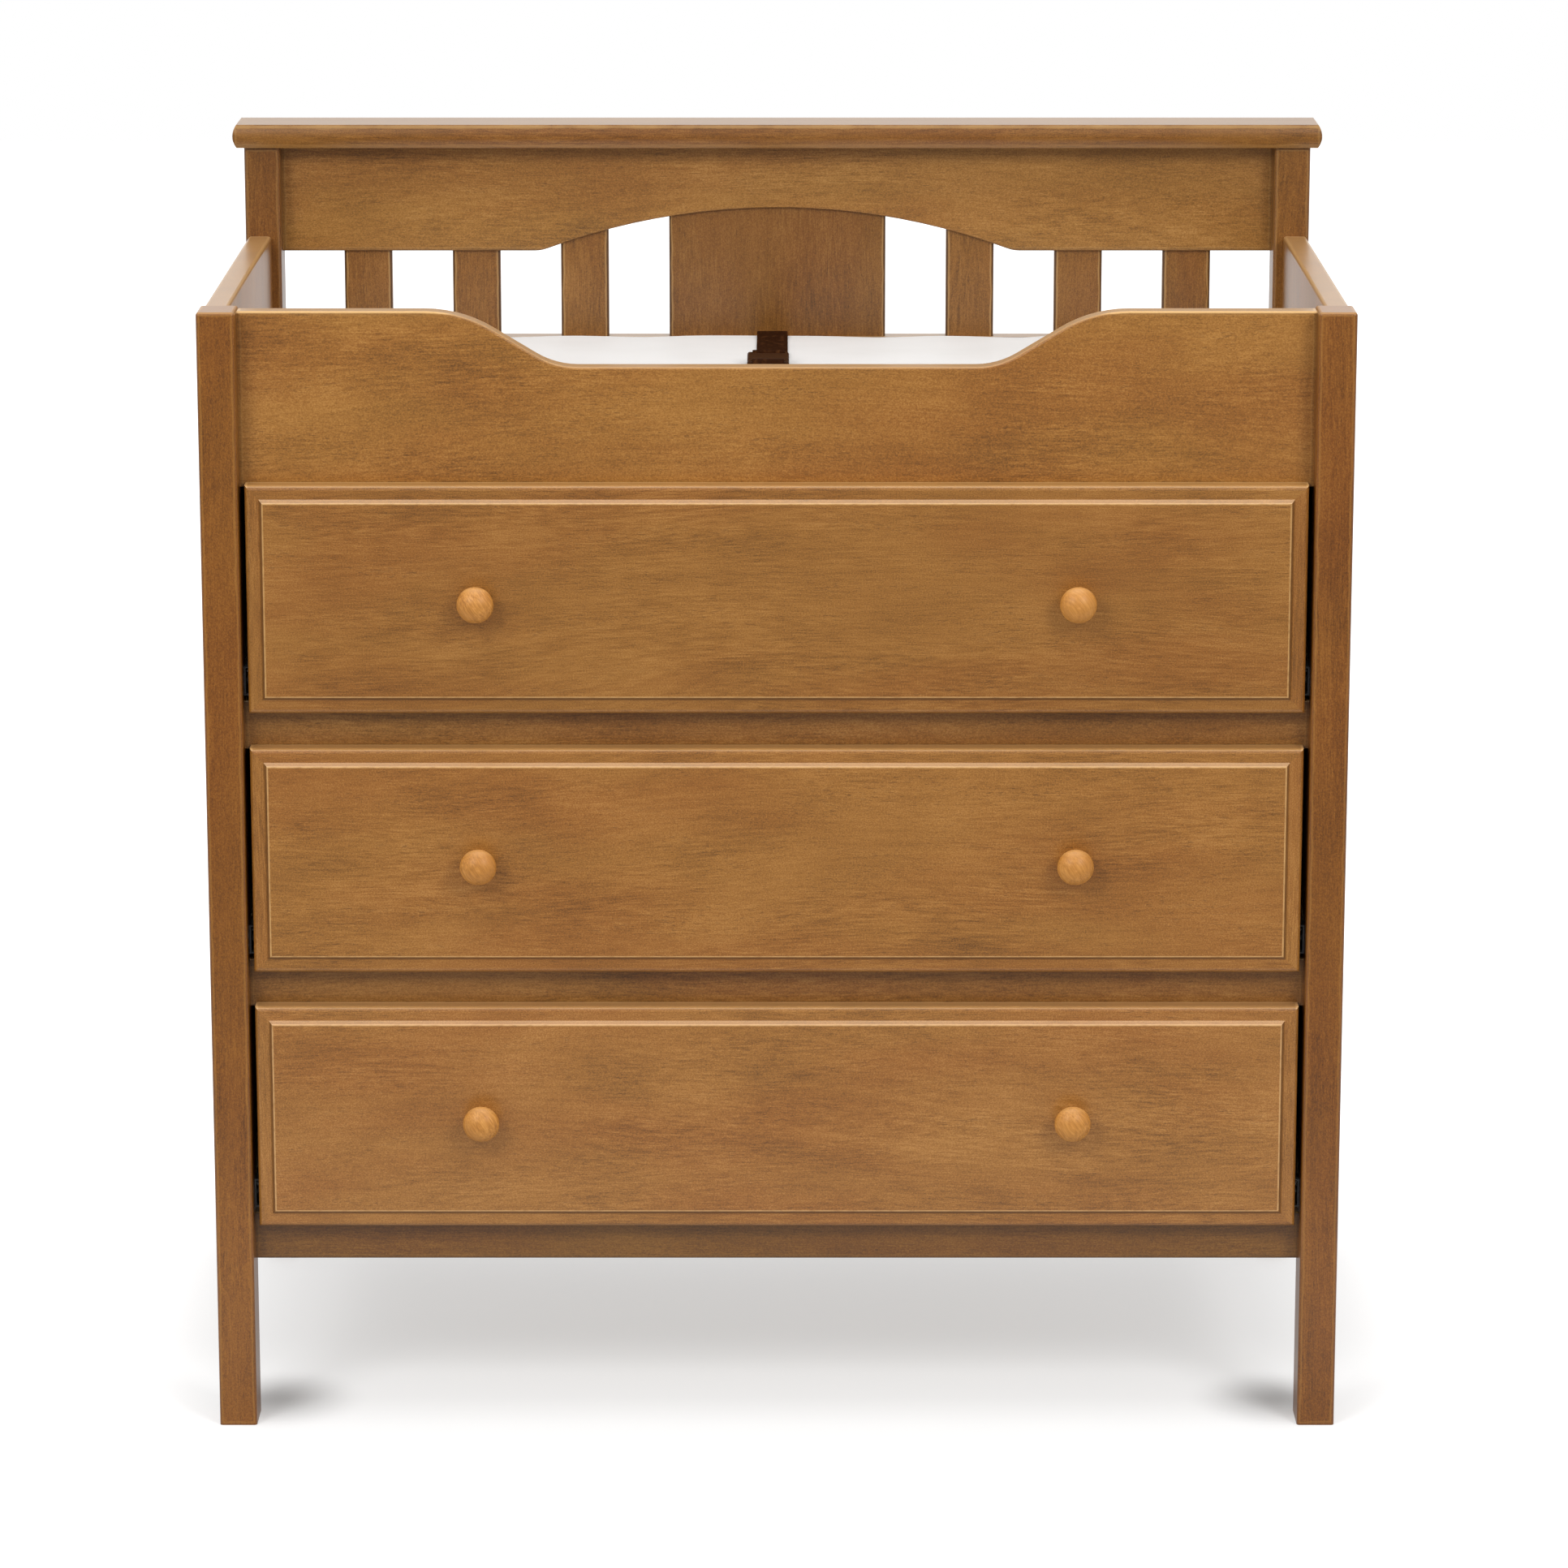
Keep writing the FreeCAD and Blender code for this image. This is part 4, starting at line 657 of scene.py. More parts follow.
# ------------------------------------------------------------------ carcass and drawers
@dataclass
class Woodwork:
    """Dresses the CAD's wooden pieces, each board in a grain of its own. A board's tint scales
    its colours in each channel, and the darker tints of the recessed rails are partly painted
    shade; its edge strengths are as in WoodFinish.material."""

    effects: Effects
    seed: int = 0                  # how many boards are dressed
    upright: dict[str, Colour] = field(default_factory=lambda: {
        "front_post_left": (0.75, 0.60, 0.28), "front_post_right": (0.73, 0.58, 0.30),
        "back_post_left": (0.63, 0.57, 0.42), "back_post_right": (0.72, 0.67, 0.52),
        "narrow_slats": (0.75, 0.72, 0.63), "centre_slat": (0.65, 0.62, 0.54)})
    # the front bottom rail and the divider rails are darker, partly as painted shade of their
    # recess under the drawer fronts
    level: dict[str, Colour] = field(default_factory=lambda: {
        "guard_panel": (1.05, 1.03, 0.88), "front_bottom_rail": (0.62, 0.58, 0.36),
        "lower_divider_rail": (0.82, 0.80, 0.72), "upper_divider_rail": (0.88, 0.89, 0.86),
        "arch_rail": (1.0, 1.06, 1.1), "cap_rail": (0.73, 0.68, 0.52),
        "back_tray_rail": (0.8, 0.8, 0.8), "back_bottom_rail": (0.8, 0.8, 0.8)})
    fronts: dict[str, Colour] = field(default_factory=lambda: {
        "bottom": (1.12, 1.10, 1.12), "middle": (1.08, 1.05, 0.98), "top": (0.99, 0.96, 0.86)})
    plain: dict[str, tuple[WoodFinish, Grain]] = field(default_factory=lambda: {
        "tray_floor": (TRAY_BOARD, Grain.ALONG_X), "back_panel": (BACK_BOARD, Grain.ALONG_X),
        "tray_cleats": (BOX_WOOD, Grain.ALONG_X), "slide_spacers": (BOX_WOOD, Grain.ALONG_Y)})
    # strengths of painted highlight with wear, painted edge shade, and wear with painted light on
    # upward edges
    post_rub: Triple = (0.3, 0.1, 0.3)
    slat_rub: Triple = (0.6, 0.8, 0.0)
    cap_rub: Triple = (0.3, 0.2, 0.9)
    rail_rub: Triple = (0.1, 0.3, 0.9)
    front_rub: Triple = (0.0, 0.35, 0.6)

    def paint(self, node: str, finish: WoodFinish, grain: Grain, **board: object) -> None:
        """Give one CAD board its wood.

        Args:
            node: the CAD node's name.
            finish: the wood and its stain.
            grain: which way the grain runs.
            board: this board's own tint, rub, raised field and row.
        """
        self.seed += 1
        low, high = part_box(node)
        put_on(node, finish.material(self.effects, grain, self.seed, low, high, **board))

    @staticmethod
    def slat_row() -> Triple:
        """Where the row of narrow slats starts, on both sides of the middle, its pitch and a
        slat's width. Slats and gaps alternate evenly from the centre slat to the post.

        Returns:
            The three lengths.
        """
        centre, last, left_post = (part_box(node)[1].x for node in (
            "centre_slat", "narrow_slats", "back_post_left"))
        gap = -left_post - last
        pitch = (last - centre) / SLATS_BESIDE
        return centre + gap, pitch, pitch - gap

    def dress(self) -> None:
        """Dress every wooden board and knob."""
        for node, tint in self.upright.items():
            rub = self.slat_rub if "slat" in node else self.post_rub
            row = self.slat_row() if node == "narrow_slats" else None
            self.paint(node, STAINED, Grain.ALONG_Z, tint=tint, rub=rub, row=row)
        for node, tint in self.level.items():
            rub = self.cap_rub if node == "cap_rail" else self.rail_rub
            self.paint(node, STAINED, Grain.ALONG_X, tint=tint, rub=rub)
        for side in ("left", "right"):
            self.paint("side_panel_" + side, STAINED, Grain.ALONG_Z)
        for node, (finish, grain) in self.plain.items():
            self.paint(node, finish, grain)
        for name in DRAWERS:
            drawer = name + "_drawer"
            self.paint(drawer + "_front", STAINED, Grain.ALONG_X, tint=self.fronts[name],
                       rub=self.front_rub, raised=True)
            self.paint(name + "_knobs", KNOB_WOOD, Grain.ACROSS_KNOB)
            self.paint(drawer + "_side_left", BOX_WOOD, Grain.ALONG_Y)
            self.paint(drawer + "_side_right", BOX_WOOD, Grain.ALONG_Y)
            self.paint(drawer + "_back", BOX_WOOD, Grain.ALONG_X)
            self.paint(drawer + "_bottom", BOTTOM_BOARD, Grain.ALONG_X)
        LOG.info("dressed %d boards", self.seed)


@dataclass
class Hardware:
    """Dresses the slides, rollers, fasteners and buckle."""

    effects: Effects

    def dress(self) -> None:
        """Give every metal and plastic CAD piece its finish."""
        groups = {SLIDE_STEEL: ["fixed_slides"], ROLLER_PLASTIC: [],
                  ZINC_STEEL: ["cam_locks", "cam_studs", "back_bolts", "barrel_nuts"],
                  BUCKLE_PLASTIC: ["buckle_socket", "buckle_plug"]}
        for name in DRAWERS:
            groups[SLIDE_STEEL].append(name + "_drawer_slides")
            groups[ROLLER_PLASTIC] += [name + "_fixed_rollers", name + "_drawer_rollers"]
            groups[ZINC_STEEL].append(name + "_knob_screws")
        for finish, nodes in groups.items():
            material = finish.material(self.effects)
            for node in nodes:
                put_on(node, material)
            LOG.info("%s on %d nodes", finish.name, len(nodes))


def put_on(node: str, material: bpy.types.Material) -> None:
    """Give a CAD node one material in place of its own."""
    NODES[node].data.materials.clear()
    NODES[node].data.materials.append(material)


# ------------------------------------------------------------------ meshes
def mesh_object(name: str, points: np.ndarray, faces: list | np.ndarray,
                smooth: bool = True) -> bpy.types.Object:
    """Make an object at the origin from points in the frame and faces.

    Args:
        name: the object's name.
        points: one row of x, y, z for each vertex.
        faces: vertex numbers of each face.
        smooth: shade the faces smooth.

    Returns:
        The new object, linked to the scene.
    """
    mesh = bpy.data.meshes.new(name)
    mesh.from_pydata(np.asarray(points, float).reshape(-1, 3).tolist(), [],
                     [list(map(int, f)) for f in faces])
    mesh.validate()
    mesh.polygons.foreach_set("use_smooth", [smooth] * len(mesh.polygons))
    made = bpy.data.objects.new(name, mesh)
    bpy.context.scene.collection.objects.link(made)
    return made


def tube_faces(rings: int, around: int) -> np.ndarray:
    """Quads between neighbouring rings of equal size, closed around each ring.

    Args:
        rings: how many rings there are.
        around: how many points each has.

    Returns:
        One row of four vertex numbers for each quad.
    """
    ring, step = np.meshgrid(np.arange(rings - 1), np.arange(around), indexing="ij")
    after = (step + 1) % around
    corners = [ring * around + step, ring * around + after,
               (ring + 1) * around + after, (ring + 1) * around + step]
    return np.stack(corners, -1).reshape(-1, 4)


def capped_tube(rings: np.ndarray) -> tuple[np.ndarray, list]:
    """Points and faces of a closed surface through equal rings, with flat caps.

    Args:
        rings: array of rings by points by xyz.

    Returns:
        The points as rows, and the faces.
    """
    count, around = rings.shape[:2]
    faces = tube_faces(count, around).tolist()
    faces.append(list(range(around))[::-1])
    faces.append([(count - 1) * around + k for k in range(around)])
    return rings.reshape(-1, 3), faces


def signed_power(wave: np.ndarray, power: float) -> np.ndarray:
    """A sine or cosine raised to a power with its sign kept, as a superellipse needs."""
    return np.sign(wave) * np.abs(wave) ** power


def smooth_step(share: np.ndarray) -> np.ndarray:
    """Three times the square less twice the cube, with the share kept from 0 to 1."""
    share = np.clip(share, 0.0, 1.0)
    return share ** 2 * (3.0 - 2.0 * share)


# ------------------------------------------------------------------ changing pad
@dataclass
class ChangingPad:
    """Foam pad in a wipeable cover: a crowned closed form, swelled by a short cloth pass."""

    room: float = 0.0042           # start shape inside the CAD solid, for the cloth to swell into
    top_room: float = 0.002
    floor_gap: float = 0.0008
    swell: float = 0.006           # how far the cloth pass may move a point
    rise: float = 0.002            # how far it may pass the solid on the right, behind and above
    lift: float = 0.0004           # how far it keeps inside on the left, in front and below
    voxel: float = 0.006
    corner: float = 0.022
    corner_share: float = 0.9      # most of a small ring's half side that its corners may take
    waist: float = 0.004
    crown: float = 0.0035
    crown_start: float = 1.3       # how far in it starts, in halves of the edge's height
    crown_power: float = 0.8
    side_power: float = 2.6        # of the superellipse that the side is half of
    middle_room: float = 0.012     # half width of the innermost ring
    side_points: int = 24
    corner_points: int = 10
    profile_points: int = 15
    crown_points: int = 14
    pressure: float = 4.0
    stiffness: float = 15.0
    bending: float = 0.8
    quality: int = 5
    frames: int = 20
    smoothing: float = 0.5
    smoothing_rounds: int = 4
    ripples: Triple = (0.0007, 0.0005, 0.0004)     # heights of the cover's three slow waves
    welt_radius: float = 0.0013
    welt_height: float = 0.011
    welt_sides: int = 8
    welt_search: float = 0.02      # the rays' starts outside the pad, and their aims inside it
    dull: Colour = (0.83, 0.82, 0.805)
    bright: Colour = (0.865, 0.857, 0.845)

    def outline(self, inset: np.ndarray) -> np.ndarray:
        """Rounded rectangle whose sides draw in between its corners.

        The walk round it is four arcs of the corner radius; the points between them lie on
        straight sides, moved in by the waist times one minus the square of how far they are
        from the side's middle.

        Args:
            inset: one distance inwards for each ring.

        Returns:
            Array of rings by points by x and y, counter-clockwise seen from above.
        """
        low, high = (np.array(corner)[:2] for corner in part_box("changing_pad"))
        half = (high - low) / 2 - self.room
        turn = np.linspace(0.0, math.pi / 2, self.corner_points)
        along = np.linspace(-1.0, 1.0, self.side_points + 2)[1:-1]
        reach = np.stack([half[0] - inset, half[1] - inset], -1)[:, None, :]
        radius = np.minimum(self.corner, self.corner_share * reach.min(-1))
        walk = []
        for k, (sx, sy) in enumerate(((1, 1), (-1, 1), (-1, -1), (1, -1))):
            angle = turn + k * math.pi / 2
            ring = np.stack([sx * (reach[..., 0] - radius) + radius * np.cos(angle),
                             sy * (reach[..., 1] - radius) + radius * np.sin(angle)], -1)
            walk.append(ring)
            side = reach - radius[..., None]
            bow = self.waist * (1.0 - along ** 2)
            if k % 2 == 0:
                flat = (-sx * side[..., 0] * along, sy * (reach[..., 1] - bow))
            else:
                flat = (sx * (reach[..., 0] - bow), -sy * side[..., 1] * along)
            walk.append(np.stack(np.broadcast_arrays(*flat), -1))
        return np.concatenate(walk, 1) + (low + high) / 2

    def start_shape(self) -> bpy.types.Object:
        """Closed pad before the cloth pass.

        The profile goes from the foot's middle out to the side and back over the crown: the
        side is half a superellipse, and the crown is a power of the sine of the inset.

        Returns:
            The object.
        """
        low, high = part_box("changing_pad")
        edge = high.z - low.z - self.crown - self.top_room
        bulge = edge / 2
        turn = np.linspace(-math.pi / 2, math.pi / 2, self.profile_points)
        power = 2.0 / self.side_power
        side = bulge * (1.0 - np.abs(np.cos(turn)) ** power)
        height = bulge * (1.0 + signed_power(np.sin(turn), power))
        inner = np.linspace(bulge * self.crown_start,
                            (high.y - low.y) / 2 - self.room - self.middle_room,
                            self.crown_points)
        quarter = 0.5 * math.pi * (inner - inner[0]) / np.ptp(inner)
        top = edge + self.crown * np.sin(quarter) ** self.crown_power
        flat = self.outline(np.concatenate([inner[::-1], side, inner]))
        height = np.concatenate([np.zeros_like(inner), height, top])
        tall = np.broadcast_to((low.z + self.floor_gap + height)[:, None, None],
                               flat.shape[:2] + (1,))
        points, faces = capped_tube(np.concatenate([flat, tall], -1))
        return mesh_object("pad_cover", points, faces)

    def press(self, pad: bpy.types.Object) -> None:
        """Remesh the pad, swell it with a cloth pass, and keep each point within the cap.

        Args:
            pad: the closed start shape; its mesh is replaced.
        """
        remesh = pad.modifiers.new("Remesh", "REMESH")
        remesh.mode, remesh.voxel_size = "VOXEL", self.voxel
        self.bake(pad)
        before = read_points(pad.data)
        cloth = pad.modifiers.new("Cloth", "CLOTH")
        settings = cloth.settings
        settings.use_pressure = True
        settings.uniform_pressure_force = self.pressure
        settings.effector_weights.gravity = 0.0
        settings.quality = self.quality
        settings.tension_stiffness = settings.compression_stiffness = self.stiffness
        settings.bending_stiffness = self.bending
        scene = bpy.context.scene
        for frame in range(1, self.frames + 1):
            scene.frame_set(frame)
        self.bake(pad)
        scene.frame_set(1)
        move = read_points(pad.data) - before
        length = np.linalg.norm(move, axis=1, keepdims=True)
        after = before + move * np.minimum(1.0, self.swell / np.maximum(length, 1e-9))
        low, high = (np.array(corner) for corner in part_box("changing_pad"))
        after = np.clip(after + self.ripple(after), low + self.lift, high + self.rise)
        write_points(pad.data, after)
        smooth = pad.modifiers.new("Smooth", "SMOOTH")
        smooth.factor, smooth.iterations = self.smoothing, self.smoothing_rounds
        subdivide = pad.modifiers.new("Subdivision", "SUBSURF")
        subdivide.levels = subdivide.render_levels = 1
        self.bake(pad)
        pad.data.polygons.foreach_set("use_smooth", [True] * len(pad.data.polygons))

    def ripple(self, points: np.ndarray) -> np.ndarray:
        """Slack of the cover: a slanting sine, a product of sines along both sides and a
        finer slanting sine, all in height, that fade out below the pad's upper face.

        Args:
            points: the cover's points as rows of x, y, z.

        Returns:
            Their moves.
        """
        low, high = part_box("changing_pad")
        x, y, z = points.T
        top = np.clip((z - low.z) / (high.z - low.z) * 2.0 - 1.0, 0.0, 1.0)
        waves = (np.sin(19.0 * x + 6.0 * y + 1.1),
                 np.sin(41.0 * x - 0.7) * np.sin(23.0 * y + 0.4),
                 np.sin(63.0 * x + 31.0 * y))
        return np.outer(top * np.dot(self.ripples, waves), (0.0, 0.0, 1.0))

    @staticmethod
    def bake(made: bpy.types.Object) -> None:
        """Apply every modifier by keeping the evaluated mesh.

        Args:
            made: the object.
        """
        graph = bpy.context.evaluated_depsgraph_get()
        mesh = bpy.data.meshes.new_from_object(made.evaluated_get(graph))
        made.modifiers.clear()
        made.data = mesh

    def welt(self, pad: bpy.types.Object) -> bpy.types.Object:
        """Piping sewn round the pad's side: a thin tube on the cover, found by rays inwards.

        Args:
            pad: the finished pad.

        Returns:
            The object.
        """
        tree = BVHTree.FromObject(pad, bpy.context.evaluated_depsgraph_get())
        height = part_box("changing_pad")[0].z + self.welt_height
        outer, inner = (self.outline(np.array([inset]))[0]
                        for inset in (-self.welt_search, self.welt_search))
        out = outer - inner
        out /= np.linalg.norm(out, axis=1, keepdims=True)
        line = np.array([tree.ray_cast(Vector((*start, height)), Vector((*-way, 0.0)))[0]
                         for start, way in zip(outer, out)])
        turn = np.linspace(2 * math.pi, 0.0, self.welt_sides + 1)[:-1]
        out = np.column_stack([out, np.zeros(len(out))])
        rings = line[:, None] + self.welt_radius * (
            np.cos(turn)[:, None] * out[:, None] + np.sin(turn)[:, None] * np.array([0, 0, 1]))
        count, around = rings.shape[:2]
        faces = tube_faces(count + 1, around) % (count * around)
        return mesh_object("pad_welt", rings, faces)

    def build(self) -> bpy.types.Object:
        """Make, dress and place the pad and its welt.

        Returns:
            The pad.
        """
        pad = self.start_shape()
        self.press(pad)
        material = self.vinyl()
        welt = self.welt(pad)
        for piece in (pad, welt):
            piece.data.materials.append(material)
            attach(piece, "changing_pad")
        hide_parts("changing_pad")
        LOG.info("pad: %d faces", len(pad.data.polygons))
        return pad

    def vinyl(self) -> bpy.types.Material:
        """White wipeable cover with a fine embossed grain.

        Returns:
            The material.
        """
        made, w = new_material("pad_vinyl")
        here = w.add("TexCoord").outputs["Object"]
        cells = w.add("TexVoronoi", {"Vector": here, "Scale": 1100.0}, feature="F1")
        slack = w.noise(here, (9.0, 14.0, 14.0), detail=3.0)
        shade = w.mix(w.ramp(slack, 0.3, 0.7), self.dull, self.bright)
        height = w.calc("MULTIPLY_ADD", slack, 2.0, cells.outputs["Distance"])
        w.surface({"Base Color": shade, "Roughness": w.ramp(slack, 0.2, 0.8, 0.5, 0.62),
                   "Specular IOR Level": 0.25, "Sheen Weight": 0.05},
                  height, relief=0.25, depth=0.0004)
        return made


def read_points(mesh: bpy.types.Mesh) -> np.ndarray:
    """Vertices of a mesh.

    Args:
        mesh: the mesh.

    Returns:
        Rows of x, y, z.
    """
    flat = np.empty(len(mesh.vertices) * 3)
    mesh.vertices.foreach_get("co", flat)
    return flat.reshape(-1, 3)


def write_points(mesh: bpy.types.Mesh, points: np.ndarray) -> None:
    """Put rows of x, y, z back into a mesh's vertices."""
    mesh.vertices.foreach_set("co", points.astype(np.float32).ravel())
    mesh.update()


# ------------------------------------------------------------------ belt
@dataclass
class Belt:
    """Woven belt over the pad: a band for each side, sewn in a loop round the buckle's bar."""

    pad: bpy.types.Object
    effects: Effects
    thickness: float = 0.0014
    clearance: float = 0.0003
    bar: float = 0.004             # depth of a buckle's end bar
    slot: float = 0.004            # opening behind the bar
    doubled: Span = (0.008, 0.042)         # from the buckle's end, where the sewn end lies flat
    sewn_end: float = 0.044        # and where it stops
    spacing: float = 0.001         # between rings along the band
    spline_steps: int = 24
    weave_pitch: float = 0.0012
    slack: float = 0.0032          # how far the rear band stands off the pad's rear edge
    slack_reach: float = 0.06      # and how far from that edge it lies down
    lean: float = 0.003            # how far the bands lie to the right, away from the buckle
    lean_span: Span = (0.004, 0.020)       # from the buckle's end, over which they step there
    edge_room: float = 0.016       # from the belt's foot to the flat part of its route
    buckle_room: float = 0.012     # from the buckle's end to that part
    route_points: int = 33
    # corners of the bend over the pad's edge: in from the belt's side, down from its flat part
    edge_bend: tuple[Span, ...] = ((0.0, 0.018), (0.0, 0.008), (0.0035, 0.0022))
    slot_bend: float = 0.0012      # room of the bends above and below the slot
    bar_fall: float = 0.003        # past the bar, where the sewn end is lower by as much
    landing: Span = (0.007, 0.0015)        # past the bar, and height there above where it lies
    ray_start: float = 2.0         # height from which the pad's upper face is looked for
    width_power: float = 6.0       # of the superellipse that is the band's section
    section_points: int = 28
    seam: Span = (0.016, 0.034)    # the stitched rectangle, from the buckle's end
    seam_inset: float = 0.003
    seam_lean: float = 0.9         # share of the lean that the band has there
    stitch: Triple = (0.0011, 0.0004, 0.0003)      # half length, half width and height
    stitches_across: int = 9
    stitches_along: int = 8
    stitch_around: int = 8
    stitch_rings: int = 3
    dark_thread: Colour = (0.014, 0.004, 0.001)
    light_thread: Colour = (0.042, 0.012, 0.003)
    worn_thread: Colour = (0.088, 0.032, 0.010)

    @staticmethod
    def buckle_end(towards: int) -> Triple:
        """Place of the buckle's end in Y, and its underside and top in Z.

        Args:
            towards: +1 for the end behind, -1 for the one in front.

        Returns:
            The three coordinates.
        """
        low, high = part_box("buckle_socket" if towards > 0 else "buckle_plug")
        return (high if towards > 0 else low).y, low.z, high.z

    def surface_height(self, x: float, y: np.ndarray) -> np.ndarray:
        """Height of the pad's upper face at one x along a row of y values."""
        tree = BVHTree.FromObject(self.pad, bpy.context.evaluated_depsgraph_get())
        return np.array([tree.ray_cast(Vector((x, v, self.ray_start)), Vector((0, 0, -1)))[0].z
                         for v in y])

    def route(self, towards: int) -> np.ndarray:
        """Line of one band's middle in Y and Z, from its foot beside the pad to its sewn end.

        It rises beside the pad, bends over the pad's edge, follows the upper face under the
        buckle's end bar, turns up through the slot, and comes back over the bar. The rear
        band starts off the pad by its slack and comes down on it in a smooth step.

        Args:
            towards: +1 for the band behind the buckle, -1 for the one in front.

        Returns:
            Corner points as rows of y, z.
        """
        low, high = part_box("pad_belt")
        end, underside, crest = self.buckle_end(towards)
        lie = self.thickness / 2 + self.clearance
        stack = self.thickness + self.clearance
        side = (high if towards > 0 else low).y - towards * self.thickness / 2
        flat = np.linspace(side - towards * self.edge_room, end + towards * self.buckle_room,
                           self.route_points)
        top = self.surface_height((low.x + high.x) / 2, flat) + lie
        if towards > 0:
            top = top + self.slack * smooth_step((flat - flat[0]) / self.slack_reach + 1.0)
        under = min(underside - lie, top[-1])
        over = crest + lie
        through = end - towards * (self.bar + self.slot / 2)
        eased = through + towards * self.slot_bend
        out = lambda reach: end + towards * reach
        points = [(side, low.z)]
        points += [(side - towards * inwards, top[0] - down) for inwards, down in self.edge_bend]
        points += zip(flat, top)
        points += [(end, under), (eased, under), (through, (underside + crest) / 2),
                   (eased, over), (end, over), (out(self.bar_fall), over - self.bar_fall),
                   (out(self.landing[0]), top[-1] + stack + self.landing[1])]
        points += [(y, height + stack) for y, height in zip(flat[::-1], top[::-1])
                   if self.doubled[0] < towards * (y - end) < self.doubled[1]]
        last = out(self.sewn_end)
        points.append((last, np.interp(last, np.sort(flat), top[np.argsort(flat)]) + stack))
        return np.array(points)

    def walk(self, corners: np.ndarray) -> np.ndarray:
        """Even points on a quadratic B-spline through the corners' midpoints.

        Args:
            corners: control points as rows of y, z.

        Returns:
            Points as rows of y, z, one ring spacing apart.
        """
        ends = np.concatenate([[corners[0]], (corners[1:] + corners[:-1]) / 2, [corners[-1]]])
        t = np.linspace(0.0, 1.0, self.spline_steps, endpoint=False)[:, None]
        pieces = [(1 - t) ** 2 * a + 2 * t * (1 - t) * b + t ** 2 * c
                  for a, b, c in zip(ends[:-1], corners, ends[1:])]
        fine = np.concatenate(pieces + [corners[-1:]])
        along = np.concatenate([[0.0], np.cumsum(np.linalg.norm(np.diff(fine, axis=0), axis=1))])
        even = np.linspace(0.0, along[-1], int(along[-1] / self.spacing))
        return np.stack([np.interp(even, along, fine[:, k]) for k in (0, 1)], -1)

    def band(self, name: str, towards: int) -> bpy.types.Object:
        """One band: a flat rounded section carried along its route.

        The section is a superellipse in width and thickness. Each ring stands square to the
        route, whose normal is its tangent turned by a quarter. Past the buckle the rings
        shift sideways by a smooth step.

        Args:
            name: the object's name.
            towards: +1 for the band behind the buckle, -1 for the one in front.

        Returns:
            The object, with a UV map in metres.
        """
        low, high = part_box("pad_belt")
        start, stop = self.lean_span
        line = self.walk(self.route(towards))
        tangent = np.gradient(line, axis=0)
        tangent /= np.linalg.norm(tangent, axis=1, keepdims=True)
        normal = np.stack([-tangent[:, 1], tangent[:, 0]], -1)
        turn = np.linspace(2 * math.pi, 0.0, self.section_points + 1)[:-1]
        power = 2.0 / self.width_power
        wide = (high.x - low.x) / 2 * signed_power(np.cos(turn), power)
        thick = self.thickness / 2 * signed_power(np.sin(turn), power)
        away = towards * (line[:, 0] - self.buckle_end(towards)[0])
        sway = self.lean * smooth_step((away - start) / (stop - start))
        x = (low.x + high.x) / 2 + sway[:, None] + wide[None, :]
        rings = np.stack([x, line[:, None, 0] + thick * normal[:, None, 0],
                          line[:, None, 1] + thick * normal[:, None, 1]], -1)
        points, faces = capped_tube(rings)
        made = mesh_object(name, points, faces)
        run = np.concatenate([[0.0], np.cumsum(np.linalg.norm(np.diff(line, axis=0), axis=1))])
        layer = made.data.uv_layers.new(name="weave")
        corner = np.empty(len(made.data.loops), int)
        made.data.loops.foreach_get("vertex_index", corner)
        uv = np.stack([np.repeat(run, len(turn)), np.tile(wide, len(line))], -1)
        layer.data.foreach_set("uv", uv[corner].ravel())
        return made

    def stitches(self, name: str, towards: int) -> bpy.types.Object:
        """Rows of thread that sew the band's end down: small domes, each a stretched half
        ball, set in a rectangle behind the buckle.

        Args:
            name: the object's name.
            towards: +1 for the band behind the buckle, -1 for the one in front.

        Returns:
            The object.
        """
        low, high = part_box("pad_belt")
        end = self.buckle_end(towards)[0]
        near, far = (end + towards * reach for reach in self.seam)
        half = (high.x - low.x) / 2 - self.seam_inset
        middle = (low.x + high.x) / 2 + self.seam_lean * self.lean
        across = np.linspace(-half, half, self.stitches_across)
        along = np.linspace(near, far, self.stitches_along)[1:-1]
        spots = np.array([(middle + x, y, 0) for y in (near, far) for x in across]
                         + [(middle + x, y, 1) for x in (-half, half) for y in along])
        around, pole = self.stitch_around, self.stitch_around * self.stitch_rings
        angle, tilt = np.meshgrid(np.linspace(0, 2 * math.pi, around + 1)[:-1],
                                  np.linspace(0.0, 0.5 * math.pi, self.stitch_rings + 1)[:-1])
        dome = np.stack([np.cos(angle) * np.cos(tilt), np.sin(angle) * np.cos(tilt),
                         np.sin(tilt)], -1).reshape(-1, 3)
        dome = np.concatenate([dome, [[0, 0, 1]]])
        face = tube_faces(self.stitch_rings, around).tolist()
        face += [[pole - around + k, pole - around + (k + 1) % around, pole]
                 for k in range(around)]
        face.append(list(range(around))[::-1])
        height = self.surface_height(middle, spots[:, 1]) + 2 * (self.clearance + self.thickness)
        long, short, tall = self.stitch
        size = np.where(spots[:, 2:] == 0, [[long, short, tall]], [[short, long, tall]])
        points = dome[None] * size[:, None] + np.column_stack([spots[:, :2], height])[:, None]
        faces = [[v + k * len(dome) for v in f] for k in range(len(spots)) for f in face]
        return mesh_object(name, points, faces)

